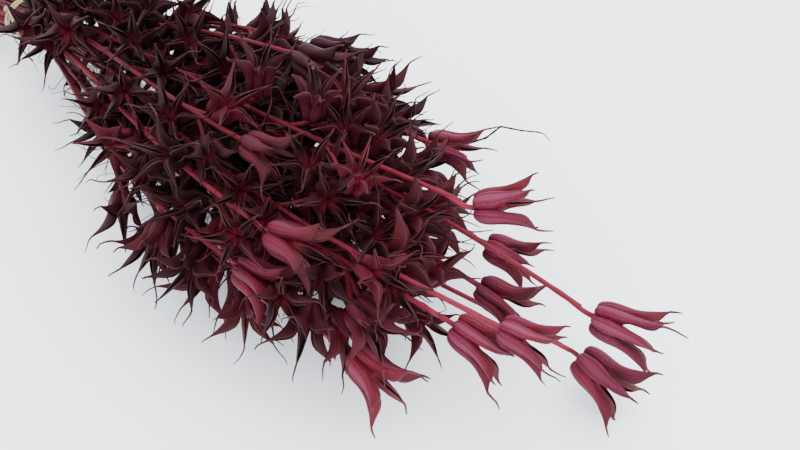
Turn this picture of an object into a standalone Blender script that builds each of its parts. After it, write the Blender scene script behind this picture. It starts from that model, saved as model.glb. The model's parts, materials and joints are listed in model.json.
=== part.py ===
"""A tied bunch of dried nigella seed pods, lying on a flat surface.

Each cut stem grew as one piece: a main stem, its side stalks and a pod on the end of each of them. So each
stem with its pods is one object, and a wound strip of raffia ties the stems together. The long axis of the
bunch runs along +X from the cut ends to the heads, and +Z is up from the surface.
"""

import math

import bmesh
import bpy
import numpy as np
from mathutils import Matrix

MM = 0.001
FULL_TURN = 2.0 * math.pi
WELD = 0.01

# Lengths are in millimetres. The layout's own frame has x = 0 at the tie and z = 0 on the surface.
# The middle of the whole bunch's outline, seen from above, is the part's origin.
BUNCH_MIDDLE = (165.7, -17.3)

# The bundle of stems: its section widens and deepens from the tie to the heads, and droops behind the tie.
STEMS = 24
STEM_RADIUS, STEM_TAPER = 1.45, 0.8
CUT_END_X, CUT_END_SCATTER = -128.0, (-7.0, 5.0)
CROWD_STEM_ENDS = (185.0, 330.0)
TIE_RADIUS, TIE_HEIGHT = 11.0, 32.0
TIE_SLOPE, REAR_HEIGHT, REAR_FLARE = 0.156, 12.1, 0.028
HEAD_WIDTH, WIDENS_OVER = 76.0, 170.0
HEAD_DEPTH, DEEPENS_OVER = 34.0, 150.0
HEAD_RISE, HEAD_DROOP = 0.034, 0.00036
BOW_ASIDE, BOW_LENGTH = -8.0, 460.0
SWAY, SWAY_BUILDS_OVER, SWAY_LENGTHS = 0.05, 80.0, (70.0, 62.0)
STATION_STEP, LAST_STATION_GAP = 35.0, 10.0

# The crowd of pods, drawn at random inside its outline: x, the middle y, half the width and half the height.
SEED = 11
PODS = 116
TRIES = 20000
CROWD = [
    (5.0, 9.0, 42.0, 44.0),
    (60.0, 9.0, 48.0, 50.0),
    (110.0, 7.0, 56.0, 56.0),
    (160.0, -6.0, 78.0, 58.0),
    (205.0, -17.0, 95.0, 62.0),
    (260.0, -20.0, 98.0, 64.0),
    (310.0, -31.0, 80.0, 57.0),
    (350.0, -46.0, 56.0, 42.0),
    (378.0, -50.0, 36.0, 32.0),
]
CROWD_FILL = 0.80
# Its pods lean outwards, less so towards the heads, and all of them a little up and to one side.
LEAN_OUT, LEAN_ANYHOW = (1.2, 2.4), 0.3
LEAN_SHARES = (1.4, 0.55)
FORWARDS = (0.8, -0.2, 0.35)
SIDE_SIZES, SIDE_OPENNESS = (0.72, 0.92), (1.0, 1.4)
END_OPENNESS = (0.85, 1.2)
POD_REACH = 25.0
CLEARANCE = 0.5

# The pods that stand out of the crowd on the longest stems, in the layout's frame: where each begins, its
# size, how far it has opened, and which way it leans from its stem.
FRONT_PODS = [
    ((424.0, -9.0, 63.0), 0.94, 0.72, (0.01, 0.16, 0.11)),
    ((421.0, -7.0, 23.0), 1.00, 1.05, (-0.02, -0.22, -0.10)),
    ((398.0, -45.0, 71.0), 0.78, 0.85, (0.0, 0.0, 0.0)),
    ((376.0, -50.0, 55.0), 0.92, 1.00, (0.0, -0.05, 0.0)),
    ((359.0, -11.0, 89.0), 0.86, 0.78, (0.05, 0.50, 0.30)),
    ((355.0, 13.0, 40.0), 0.84, 0.90, (0.01, 0.15, 0.10)),
    ((342.0, -80.0, 41.0), 0.94, 1.05, (-0.02, -0.19, -0.06)),
    ((303.0, 30.0, 64.0), 0.84, 0.90, (0.0, 0.15, 0.05)),
    ((370.0, -18.0, 47.0), 0.84, 1.10, (0.0, 0.0, 0.0)),
]

# Where a stem's end pod goes, and how far a crowded stem is cut back until that pod has room.
POD_STANDS_OFF = 5.0
END_STALK = 12.0
CUT_BACK, MOST_CUTS = 3.0, 60
END_WANDER, WANDER_GROWS = 0.02, 0.004

# Side stalks: how near and how steeply they join a stem, and their own thickness and bend.
STALK_RADIUS, STALK_WIDENS, STALK_RINGS, STALK_SIDES = 1.2, 1.35, 3, 3
STALK_REACH, SHORTEST_STALK, LONGEST_ASIDE = 25.0, 14.0, 34.0
STALK_ANGLES = (18.0, 40.0)
STALK_PULL = 0.38
FIRST_NODE_X, BARE_TOP = 4.0, 16.0
CLEAR_FROM_SHARE = 0.45

# How a pod is made to fit: its follicles bend in or out by these shares, it turns, and its styles shorten.
BENDS = (1.0, 0.7, 0.4, 1.35)
TURNS = 4
STYLE_SHARES = (1.0, 0.7, 0.6, 0.3)
SURFACE_DIP, SINKS_FROM, LIFTS_FROM = 0.9, 8.0, -14.0

# One pod follicle at full size, as radius and height from the foot of the pod. The lobes part at the grooves.
SHOULDER = (7.4, 0.4)
BACK_AT_SPLIT = (9.9, 13.5)
GROOVE_AT_SPLIT = (5.4, 14.0)
FLOOR_HEIGHT = 12.0
BLADE_BACK, BLADE_BELLY, BLADE_HALF = (13.4, 23.0), (6.6, 25.2), 1.5
TIP_BACK, TIP_BELLY, TIP_HALF = (18.2, 29.4), (16.4, 30.4), 0.5
POINT = (18.2, 31.4)
STYLE_ROOT, STYLE_END = (17.3, 29.8), (22.5, 42.0)
STYLE_CLEAR_OF_SURFACE = 0.4

# What differs from pod to pod: the number of follicles, their spacing and flare, and their styles.
FOLLICLE_COUNTS, COUNT_SHARES = (5, 6, 7), (0.45, 0.4, 0.15)
SPOKE_WANDER = 0.10
FLARES = (0.88, 1.12)
STYLE_BEND, STYLE_LENGTHS = 5.0, (0.7, 1.1)
# A direction that lies along no pod's axis, from which each pod's first spoke is found.
ODD_WAY = (0.31, 0.22, 0.93)

# Balls that fill a pod's body, as height and radius, and its follicles, as the distance from the axis, the
# height and the ball's own radius.
CORE_BALLS = [(3.5, 6.6), (7.5, 7.4), (11.0, 8.0)]
BLADE_BALLS = [
    (7.2, 4.0, 2.2),
    (8.0, 9.0, 2.2),
    (7.6, 14.0, 2.6),
    (10.2, 17.5, 2.1),
    (6.6, 18.5, 2.1),
    (12.0, 21.0, 1.9),
    (7.4, 22.5, 1.9),
    (9.8, 24.0, 1.9),
    (13.6, 24.5, 1.6),
    (11.8, 26.6, 1.5),
    (15.4, 27.2, 1.2),
    (17.3, 29.4, 0.9),
]
STYLE_BALLS, STYLE_THINS = 6, 0.8
BALL_STEP, BALLS_TOGETHER = 2.5, 16

# The raffia tie: its inner radius, and its band's outline as x and height over that radius.
BAND_RADIUS = 13.0
BAND = [(-2.7, 0.0), (2.7, 0.0), (2.6, 0.8), (1.4, 1.3), (0.0, 0.8), (-1.4, 1.3), (-2.6, 0.8)]
BAND_SIDES = 20
BAND_MIDDLE, BAND_HALF = 0.6, 2.7
KNOT = (0.5, -9.6, 13.2)
KNOT_SIZE = (3.4, 3.0, 2.6)
TAIL_WIDTH, TAIL_THICKNESS, TAIL_NARROWS, TAIL_STATIONS = 2.4, 0.7, 0.04, 9
# The tails' routes from the knot, from the middle of the tied stems.
TAILS = [
    [(1.0, -9.4, 13.0), (8.0, -12.6, 15.6), (17.0, -17.0, 16.4), (26.0, -21.5, 14.0), (34.0, -24.5, 9.5)],
    [(1.0, -10.2, 12.6), (5.0, -15.4, 9.4), (12.0, -18.4, 3.4), (21.0, -20.2, -2.6), (31.0, -21.0, -7.0)],
]

# The tie's number among the stems' numbers, which say who owns a place in the bunch.
TIE = -1
TIE_MIDDLE = np.array([0.0, 0.0, TIE_HEIGHT])

DRY_RED = (0.150, 0.012, 0.026, 1.0)
RAFFIA = (0.560, 0.400, 0.210, 1.0)


def unit(vector):
    return vector / np.linalg.norm(vector)


def head_section(x):
    """Middle (y, z) and half width and half height of the stems' bundle at x."""
    ahead = max(x, 0.0)
    middle_y = BOW_ASIDE * math.sin(math.pi * min(ahead, BOW_LENGTH) / BOW_LENGTH) ** 2
    middle_z = max(TIE_HEIGHT + TIE_SLOPE * x, REAR_HEIGHT) + HEAD_RISE * ahead - HEAD_DROOP * ahead**2
    width = TIE_RADIUS + HEAD_WIDTH * (1.0 - math.exp(-((ahead / WIDENS_OVER) ** 2)))
    height = TIE_RADIUS + HEAD_DEPTH * (1.0 - math.exp(-((ahead / DEEPENS_OVER) ** 2)))
    return middle_y, middle_z, width + REAR_FLARE * max(-x, 0.0), height


def spread_over_disc(fixed, count):
    """Evenly spaced places in the unit disc. The first are given, and the others push each other apart."""
    golden_turn = math.pi * (3.0 - math.sqrt(5.0))
    rounds, strength, longest_push = 400, 0.00012, 0.02
    free = np.arange(count - len(fixed))
    reach = np.sqrt((free + 0.5) / count)
    spiral = np.stack([reach * np.cos(free * golden_turn), reach * np.sin(free * golden_turn)], axis=1)
    places = np.concatenate([fixed, spiral])
    for _ in range(rounds):
        apart = places[:, None] - places[None]
        distance = np.linalg.norm(apart, axis=2) + np.eye(count)
        push = (apart / distance[..., None] ** 4).sum(axis=1) * strength
        push[: len(fixed)] = 0.0
        places = places + np.clip(push, -longest_push, longest_push)
        places = places / np.maximum(np.linalg.norm(places, axis=1), 1.0)[:, None]
    return places


def smooth_route(route, count):
    """Points along a smooth curve through the route's own points, in the layout's frame."""
    knots = np.array(route) + TIE_MIDDLE
    t = np.linspace(0.0, len(knots) - 1.0, count)
    k = np.minimum(t.astype(int), len(knots) - 2)
    slopes = np.gradient(knots, axis=0)
    s = (t - k)[:, None]
    return (
        (2 * s**3 - 3 * s**2 + 1) * knots[k]
        + (s**3 - 2 * s**2 + s) * slopes[k]
        + (3 * s**2 - 2 * s**3) * knots[k + 1]
        + (s**3 - s**2) * slopes[k + 1]
    )


class Stem:
    """One cut stem: its place in the bundle's section, where it ends, and how it waves on the way."""

    def __init__(self, place, end_x, draw):
        self.place = place
        self.end_x = end_x
        self.cut_x = CUT_END_X + draw.uniform(*CUT_END_SCATTER)
        self.phase = draw.uniform(0.0, FULL_TURN, 2)

    def point(self, x):
        middle_y, middle_z, width, height = head_section(x)
        built_up = min(max(x, 0.0), SWAY_BUILDS_OVER) / SWAY_BUILDS_OVER
        sway = SWAY * math.sin(built_up * math.pi / 2.0)
        u = self.place[0] + sway * math.sin(x / SWAY_LENGTHS[0] + self.phase[0])
        v = self.place[1] + sway * math.sin(x / SWAY_LENGTHS[1] + self.phase[1])
        return np.array([x, middle_y + width * u, middle_z + height * v])

    def stations(self):
        """Where along x the stem's tube has its rings."""
        ahead = np.arange(STATION_STEP, self.end_x - LAST_STATION_GAP, STATION_STEP)
        return np.concatenate([(self.cut_x, 0.5 * self.cut_x, 0.0), ahead, (self.end_x,)])

    def on_tube(self, x):
        """Points on the middle line of the tube, which is straight between its rings."""
        rings = np.array([self.point(station) for station in self.stations()])
        return np.stack([np.interp(x, rings[:, 0], rings[:, k]) for k in range(3)], axis=-1)

    def direction(self, x):
        return unit(self.point(x + 2.0) - self.point(x - 2.0))


class Pod:
    """A seed pod on its stalk. Each draw gives one follicle's place round the pod, flare and style."""

    def __init__(self, base, axis, openness, sizes, draw):
        self.base, self.axis = base, unit(axis)
        self.side = unit(np.cross(self.axis, ODD_WAY))
        self.other_side = np.cross(self.axis, self.side)
        self.size = draw.uniform(*sizes)
        self.count = int(draw.choice(FOLLICLE_COUNTS, p=COUNT_SHARES))
        turn = draw.uniform(0.0, FULL_TURN)
        wander = draw.uniform(-SPOKE_WANDER, SPOKE_WANDER, self.count)
        self.angles = turn + FULL_TURN * (np.arange(self.count) + wander) / self.count
        self.flare = openness * draw.uniform(*FLARES, self.count)
        self.style_bend = draw.uniform(-STYLE_BEND, STYLE_BEND, self.count)
        self.style_length = draw.uniform(*STYLE_LENGTHS, self.count)

    def place(self, angle, radius, height, across=0.0, flare=1.0):
        """Points at a radius, height and sideways offset, on the spokes at these angles round the axis."""
        angle, radius, height, across, flare = (
            np.asarray(value)[..., None] for value in (angle, radius, height, across, flare)
        )
        split_radius, split_height = BACK_AT_SPLIT
        radius = np.where(height > split_height, split_radius * (radius / split_radius) ** flare, radius)
        spoke = np.cos(angle) * self.side + np.sin(angle) * self.other_side
        tangent = np.cos(angle) * self.other_side - np.sin(angle) * self.side
        return self.base + self.size * (radius * spoke + height * self.axis + across * tangent)

    def style_end(self, k):
        """The free end of follicle k's style, which leans to one side and stays above the surface."""
        radius = TIP_BACK[0] + (STYLE_END[0] - TIP_BACK[0]) * self.style_length[k]
        height = TIP_BACK[1] + (STYLE_END[1] - TIP_BACK[1]) * self.style_length[k]
        end = self.place(self.angles[k], radius, height, self.style_bend[k], self.flare[k])
        return np.array([end[0], end[1], max(end[2], STYLE_CLEAR_OF_SURFACE)])

    def grow_from(self, root, way):
        """Where the stalk leaves its stem, and which way it sets out."""
        self.root, self.root_way = root, unit(way)

    def stalk(self, share):
        """A point on the stalk, a cubic curve that leaves along the stem and meets the pod along its axis."""
        pull = STALK_PULL * np.linalg.norm(self.base - self.root)
        first = self.root + pull * self.root_way
        second = self.base - pull * self.axis
        rest = 1.0 - share
        return (
            rest**3 * self.root
            + 3.0 * rest**2 * share * first
            + 3.0 * rest * share**2 * second
            + share**3 * self.base
        )

    def core_balls(self):
        """Centres and radii of balls that fill the joined lower half of the pod."""
        height, ball = np.array(CORE_BALLS).T
        return self.base + self.size * np.outer(height, self.axis), self.size * ball

    def blade_balls(self, which=slice(None)):
        """Centres and radii of balls that fill the follicles, or those of one of them."""
        radius, height, ball = np.array(BLADE_BALLS).T
        angles, flare = np.atleast_1d(self.angles[which])[:, None], np.atleast_1d(self.flare[which])[:, None]
        blades = self.place(angles, radius, height, 0.0, flare)
        return blades.reshape(-1, 3), self.size * np.tile(ball, len(angles))

    def style_balls(self, k):
        """Centres and radii of balls along follicle k's style, which thins to its end."""
        tip = self.place(self.angles[k], *STYLE_ROOT, 0.0, self.flare[k])
        shares = np.linspace(0.1, 1.0, STYLE_BALLS)
        middles = tip + shares[:, None] * (self.style_end(k) - tip)
        return middles, self.size * (1.0 - STYLE_THINS * shares)

    def lowest(self):
        """The height of the lowest back or tip, whichever is nearer the surface."""
        backs = [self.place(self.angles, *corner, 0.0, self.flare)[:, 2] for corner in (BLADE_BACK, TIP_BACK)]
        return float(np.min(backs))

    def stalk_balls(self, first_share):
        """Balls along the stalk, which is straight between its rings."""
        count = 2 + int(np.linalg.norm(self.base - self.root) / BALL_STEP)
        shares = np.linspace(first_share, 1.0, count)
        ring_shares = np.linspace(0.0, 1.0, STALK_RINGS)
        rings = np.array([self.stalk(share) for share in ring_shares])
        middles = np.stack([np.interp(shares, ring_shares, rings[:, k]) for k in range(3)], axis=-1)
        return middles, np.full(count, STALK_RADIUS)


class Room:
    """What already takes up space, as groups of balls, each with the number of the stem that owns it."""

    def __init__(self):
        self.middles, self.reaches, self.groups = [], [], []
        self.table = None

    def add(self, centres, radii, owner):
        middle = centres.mean(axis=0)
        self.middles.append(middle)
        self.reaches.append(float((np.linalg.norm(centres - middle, axis=1) + radii).max()))
        self.groups.append((centres, radii, owner))
        self.table = None

    def is_free(self, centres, radii, but_not=None):
        """Whether the balls keep clear of all that is here, apart from what one stem may own."""
        middle = centres.mean(axis=0)
        reach = float((np.linalg.norm(centres - middle, axis=1) + radii).max())
        if self.table is None:
            self.table = np.array(self.middles), np.array(self.reaches)
        middles, reaches = self.table
        apart = np.linalg.norm(middles - middle, axis=1)
        for i in np.nonzero(apart < reaches + reach + CLEARANCE)[0]:
            others, other_radii, owner = self.groups[i]
            if owner == but_not:
                continue
            gap = np.linalg.norm(centres[:, None] - others[None], axis=2) - radii[:, None] - other_radii[None]
            if gap.min() < CLEARANCE:
                return False
        return True


def settle(pod):
    """Lets a pod that is near the surface down onto it, or lifts one that would be in it."""
    lowest = pod.lowest()
    if LIFTS_FROM < lowest < SINKS_FROM:
        pod.base = pod.base - np.array([0.0, 0.0, lowest + SURFACE_DIP])
    return lowest > LIFTS_FROM


def crowd_section(x):
    """Middle (y, z) and half width and half height of the crowd of pods at x, which may be an array."""
    stations, *columns = zip(*CROWD)
    middle_y, half_width, half_height = (np.interp(x, stations, column) for column in columns)
    middle_z = np.interp(x, stations, [head_section(station)[1] for station in stations])
    return middle_y, middle_z, half_width, half_height


def in_crowd(pod):
    """Whether the pod's blades are within the crowd's outline. Its styles may stand out of it."""
    x, y, z = pod.blade_balls()[0].T
    middle_y, middle_z, half_width, half_height = crowd_section(x)
    reach = ((y - middle_y) / half_width) ** 2 + ((z - middle_z) / half_height) ** 2
    return bool((x.max() < CROWD[-1][0]) and (reach < 1.0).all())


def side_pod(room, draw):
    """A pod at a place drawn from the crowd's outline, leaning outwards, or None where there is no room."""
    x = draw.uniform(CROWD[0][0], CROWD[-1][0] - POD_REACH)
    middle_y, middle_z, half_width, half_height = crowd_section(x)
    turn, share = draw.uniform(0.0, FULL_TURN), CROWD_FILL * math.sqrt(draw.uniform())
    lean = np.array([0.0, share * math.cos(turn), share * math.sin(turn)])
    base = np.array([x, middle_y + half_width * lean[1], middle_z + half_height * lean[2]])
    lean_share = np.interp(x, (CROWD[0][0], CROWD[-1][0]), LEAN_SHARES)
    outwards = lean_share * draw.uniform(*LEAN_OUT) * lean
    axis = np.array(FORWARDS) + outwards + LEAN_ANYHOW * draw.normal(0.0, 1.0, 3)
    pod = Pod(base, axis, draw.uniform(*SIDE_OPENNESS), SIDE_SIZES, draw)
    if room.is_free(*pod.core_balls()) and in_crowd(pod):
        return pod
    return None


def nearest_stem(stems, base, steepness):
    """The stem whose side stalk reaches the pod best, and where along it the stalk leaves."""
    best = None
    for i, stem in enumerate(stems):
        aside = np.linalg.norm(stem.point(base[0] - STALK_REACH)[1:] - base[1:])
        root_x = base[0] - max(aside / steepness, SHORTEST_STALK)
        if FIRST_NODE_X < root_x < stem.end_x - BARE_TOP and (best is None or aside < best[0]):
            best = aside, i, root_x
    return best


def bend_clear(room, pod):
    """Turns the pod and bends its follicles in or out, and says whether that made all of them clear."""
    for _ in range(TURNS):
        crossed = 0
        for k, flare in enumerate(pod.flare):
            for bend in BENDS:
                pod.flare[k] = flare * bend
                if room.is_free(*pod.blade_balls(k)):
                    break
            else:
                pod.flare[k] = flare
                crossed += 1
        if crossed == 0:
            return True
        pod.angles = pod.angles + FULL_TURN / pod.count / TURNS
    return False


def keep_side_pod(room, pods, stems, pod, draw):
    """Gives the pod a stalk on the nearest stem, and keeps it if both have room."""
    if not settle(pod) or not room.is_free(*pod.core_balls()) or not bend_clear(room, pod):
        return
    best = nearest_stem(stems, pod.base, math.tan(math.radians(draw.uniform(*STALK_ANGLES))))
    if best is None or best[0] > LONGEST_ASIDE:
        return
    _, i, root_x = best
    root = stems[i].on_tube(root_x)
    pod.grow_from(root, stems[i].direction(root_x) + 0.5 * unit(pod.base - root))
    if room.is_free(*pod.stalk_balls(0.0), but_not=i) and room.is_free(*pod.stalk_balls(CLEAR_FROM_SHARE)):
        keep(room, pods, i, pod)


def keep(room, pods, i, pod):
    """Adds the pod to stem i, with each style as long as there is room for."""
    for k in range(pod.count):
        for share in STYLE_SHARES:
            pod.style_length[k] *= share
            if room.is_free(*pod.style_balls(k), but_not=i):
                break
    for balls in (pod.core_balls(), pod.blade_balls(), pod.stalk_balls(0.0)):
        room.add(*balls, i)
    for k in range(pod.count):
        room.add(*pod.style_balls(k), i)
    pods[i].append(pod)


def keep_end_pod(room, pods, stems, i, draw):
    """The pod on the end of main stem i. A stem in the crowd is cut back until its pod has room."""
    stem, stands_out = stems[i], i < len(FRONT_PODS)
    sizes, openness, lean = SIDE_SIZES, draw.uniform(*END_OPENNESS), np.zeros(3)
    if stands_out:
        size, openness, lean = FRONT_PODS[i][1:]
        sizes = size, size
    for attempt in range(MOST_CUTS):
        along = stem.direction(stem.end_x - POD_STANDS_OFF - 1.0)
        base = stem.point(stem.end_x) + POD_STANDS_OFF * along
        wander = (END_WANDER + WANDER_GROWS * attempt) * draw.normal(0.0, 1.0, 3)
        pod = Pod(base, along + lean + wander, openness, sizes, draw)
        pod.grow_from(stem.on_tube(stem.end_x - END_STALK), along)
        if stands_out or in_crowd(pod):
            settle(pod)
            pieces = zip(pod.core_balls(), pod.blade_balls(), pod.stalk_balls(0.0))
            body = [np.concatenate(piece) for piece in pieces]
            if room.is_free(*body, but_not=i):
                keep(room, pods, i, pod)
                return
        if not stands_out:
            stem.end_x -= CUT_BACK


def grow_stems(draw):
    """The main stems, evenly spread over the bundle's section. The first of them end at the front pods."""
    fixed = []
    for (x, y, z), *_ in FRONT_PODS:
        middle_y, middle_z, width, height = head_section(x)
        fixed.append(((y - middle_y) / width, (z - middle_z) / height))
    front_ends = [place[0] - POD_STANDS_OFF for place, *_ in FRONT_PODS]
    crowd_ends = np.linspace(*CROWD_STEM_ENDS, STEMS - len(FRONT_PODS))
    ends = [*front_ends, *crowd_ends]
    return [Stem(place, end_x, draw) for place, end_x in zip(spread_over_disc(fixed, STEMS), ends)]


def room_taken(stems):
    """The room that the stems and the tie take up."""
    room = Room()
    for i, stem in enumerate(stems):
        points = stem.on_tube(np.arange(stem.cut_x, stem.end_x, BALL_STEP))
        for start in range(0, len(points), BALLS_TOGETHER):
            part = points[start : start + BALLS_TOGETHER]
            room.add(part, np.full(len(part), STEM_RADIUS), i)
    for route in TAILS:
        room.add(smooth_route(route, 24), np.full(24, TAIL_WIDTH / 2.0), TIE)
    turns = np.linspace(0.0, FULL_TURN, 48)
    reach = BAND_RADIUS + BAND_MIDDLE
    ring = np.stack([np.zeros(48), reach * np.cos(turns), reach * np.sin(turns)], axis=1)
    room.add(ring + TIE_MIDDLE, np.full(48, BAND_HALF), TIE)
    room.add(np.array([KNOT]) + TIE_MIDDLE, np.array([max(KNOT_SIZE)]), TIE)
    return room


def lay_out():
    """The stems of the bunch, and for each of them its pods, none of which touches another stem's."""
    draw = np.random.default_rng(SEED)
    stems = grow_stems(draw)
    room = room_taken(stems)
    pods = [[] for _ in stems]
    for i in range(STEMS):
        keep_end_pod(room, pods, stems, i, draw)
    for _ in range(TRIES):
        if sum(map(len, pods)) == PODS:
            break
        pod = side_pod(room, draw)
        if pod is not None:
            keep_side_pod(room, pods, stems, pod, draw)
    return stems, pods


def bridge(first, first_angles, last, last_angles):
    """Triangles between two closed rings of vertices with unlike counts, matched by their angles."""
    faces = []
    a_list = [(first_angles[k], first[k]) for k in np.argsort(first_angles)]
    b_list = [(last_angles[k], last[k]) for k in np.argsort(last_angles)]
    a_list.append((a_list[0][0] + FULL_TURN, a_list[0][1]))
    b_list.append((b_list[0][0] + FULL_TURN, b_list[0][1]))
    i = j = 0
    while i < len(first) or j < len(last):
        if j == len(last) or (i < len(first) and a_list[i + 1][0] <= b_list[j + 1][0]):
            faces.append((a_list[i][1], a_list[i + 1][1], b_list[j][1]))
            i += 1
        else:
            faces.append((a_list[i][1], b_list[j + 1][1], b_list[j][1]))
            j += 1
    return faces


def pod_mesh(pod, stands_out):
    """The pod and its stalk as one closed loft. The lobes rise from one body and part into horned blades.
    The pods that stand out of the crowd have a narrow tip with its style, and the others end in a point."""
    points, faces = [], []

    def add(point):
        points.append(point)
        return len(points) - 1

    rings = []
    stalk_angles = FULL_TURN * np.arange(STALK_SIDES) / STALK_SIDES
    shares, widths = np.linspace(0.0, 1.0, STALK_RINGS), np.linspace(1.0, STALK_WIDENS, STALK_RINGS)
    for share, width in zip(shares, widths):
        centre = pod.stalk(share)
        along = unit(pod.stalk(min(share + 0.02, 1.0)) - pod.stalk(max(share - 0.02, 0.0)))
        side = unit(pod.side - along * (pod.side @ along))
        spokes = [math.cos(t) * side + math.sin(t) * np.cross(along, side) for t in stalk_angles]
        rings.append([add(centre + width * STALK_RADIUS * spoke) for spoke in spokes])
    faces.append(tuple(rings[0]))
    for low, high in zip(rings, rings[1:]):
        for k in range(STALK_SIDES):
            after = (k + 1) % STALK_SIDES
            faces.append((low[k], low[after], high[after], high[k]))

    gaps = (np.append(pod.angles[1:], pod.angles[0] + FULL_TURN) + pod.angles) / 2.0
    shoulders = [add(pod.place(t, *SHOULDER)) for t in pod.angles]
    backs = [add(pod.place(t, *BACK_AT_SPLIT)) for t in pod.angles]
    grooves = [add(pod.place(t, *GROOVE_AT_SPLIT)) for t in gaps]
    floor = add(pod.place(0.0, 0.0, FLOOR_HEIGHT))
    faces += bridge(rings[-1], stalk_angles % FULL_TURN, shoulders, pod.angles % FULL_TURN)
    for k in range(pod.count):
        after = (k + 1) % pod.count
        faces.append((shoulders[k], grooves[k], backs[k]))
        faces.append((shoulders[k], shoulders[after], grooves[k]))
        faces.append((shoulders[after], backs[after], grooves[k]))
        faces.append((grooves[k - 1], grooves[k], floor))
        low = [grooves[k - 1], backs[k], grooves[k]]
        sections = [(BLADE_BACK, BLADE_BELLY, BLADE_HALF), (TIP_BACK, TIP_BELLY, TIP_HALF)]
        for back, belly, half in sections if stands_out else sections[:1]:
            high = [
                add(pod.place(pod.angles[k], *belly, -half, pod.flare[k])),
                add(pod.place(pod.angles[k], *back, 0.0, pod.flare[k])),
                add(pod.place(pod.angles[k], *belly, half, pod.flare[k])),
            ]
            for m in range(3):
                faces.append((low[m], low[(m + 1) % 3], high[(m + 1) % 3]))
                faces.append((low[m], high[(m + 1) % 3], high[m]))
            low = high
        end = add(pod.style_end(k) if stands_out else pod.place(pod.angles[k], *POINT, 0.0, pod.flare[k]))
        for m in range(3):
            faces.append((low[m], low[(m + 1) % 3], end))
    return np.array(points), faces


def close_up(mesh):
    """Merges the mesh's doubled vertices and turns its faces outwards."""
    shape = bmesh.new()
    shape.from_mesh(mesh)
    bmesh.ops.remove_doubles(shape, verts=shape.verts, dist=WELD * MM)
    bmesh.ops.recalc_face_normals(shape, faces=shape.faces)
    shape.to_mesh(mesh)
    shape.free()


def mesh_object(name, points, faces, collection):
    """A closed mesh, from points in millimetres."""
    mesh = bpy.data.meshes.new(name)
    mesh.from_pydata([tuple(p) for p in np.asarray(points) * MM], [], faces)
    close_up(mesh)
    made = bpy.data.objects.new(name, mesh)
    collection.objects.link(made)
    return made


def as_mesh(name, guide, collection):
    """The shape that a guide object makes with its bevel or its modifiers, as a closed mesh of its own."""
    collection.objects.link(guide)
    graph = bpy.context.evaluated_depsgraph_get()
    mesh = bpy.data.meshes.new_from_object(guide.evaluated_get(graph))
    close_up(mesh)
    bpy.data.objects.remove(guide)
    made = bpy.data.objects.new(name, mesh)
    collection.objects.link(made)
    return made


def stem_tube(name, stem, collection):
    """The main stem: a curve with a bevel that tapers from the cut end."""
    curve = bpy.data.curves.new("route", "CURVE")
    curve.dimensions = "3D"
    curve.bevel_depth = STEM_RADIUS * MM
    curve.bevel_resolution = 0
    curve.use_fill_caps = True
    points = [stem.point(x) for x in stem.stations()]
    spline = curve.splines.new("POLY")
    spline.points.add(len(points) - 1)
    for target, point, taper in zip(spline.points, points, np.linspace(1.0, STEM_TAPER, len(points))):
        target.co = (*(point * MM), 1.0)
        target.radius = taper
    return as_mesh(name, bpy.data.objects.new("route", curve), collection)


def fuse(body, extras):
    """One Boolean union of the body with everything in the collection, which is then emptied."""
    union = body.modifiers.new("Pods", "BOOLEAN")
    union.operation = "UNION"
    union.operand_type = "COLLECTION"
    union.collection = extras
    union.solver = "MANIFOLD"
    graph = bpy.context.evaluated_depsgraph_get()
    joined = bpy.data.meshes.new_from_object(body.evaluated_get(graph))
    body.modifiers.clear()
    body.data = joined
    for extra in list(extras.objects):
        bpy.data.objects.remove(extra)


def trim_to_surface(body):
    """Cuts off what dips below the surface, which leaves small flat spots to rest on."""
    shape = bmesh.new()
    shape.from_mesh(body.data)
    bmesh.ops.bisect_plane(
        shape,
        geom=shape.verts[:] + shape.edges[:] + shape.faces[:],
        plane_co=(0.0, 0.0, 0.0),
        plane_no=(0.0, 0.0, 1.0),
        dist=0.1 * WELD * MM,
        clear_inner=True,
    )
    bmesh.ops.holes_fill(shape, edges=[e for e in shape.edges if e.is_boundary], sides=0)
    bmesh.ops.triangulate(shape, faces=shape.faces)
    shape.to_mesh(body.data)
    shape.free()


def tie_band(collection):
    """The band of two windings side by side: its outline turned once round the tied stems."""
    outline = bpy.data.meshes.new("outline")
    edges = [(k, (k + 1) % len(BAND)) for k in range(len(BAND))]
    outline.from_pydata([(x * MM, 0.0, (BAND_RADIUS + height) * MM) for x, height in BAND], edges, [])
    guide = bpy.data.objects.new("outline", outline)
    turn = guide.modifiers.new("Turn", "SCREW")
    turn.axis = "X"
    turn.steps = turn.render_steps = BAND_SIDES
    band = as_mesh("tie", guide, collection)
    band.data.transform(Matrix.Translation(TIE_MIDDLE * MM))
    return band


def knot_mesh(collection):
    """A lump a little wider than the band, squashed against it."""
    shape = bmesh.new()
    bmesh.ops.create_icosphere(shape, subdivisions=1, radius=1.0)
    points = [np.array(v.co) * KNOT_SIZE + KNOT + TIE_MIDDLE for v in shape.verts]
    faces = [tuple(v.index for v in face.verts) for face in shape.faces]
    shape.free()
    return mesh_object("knot", points, faces, collection)


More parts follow.
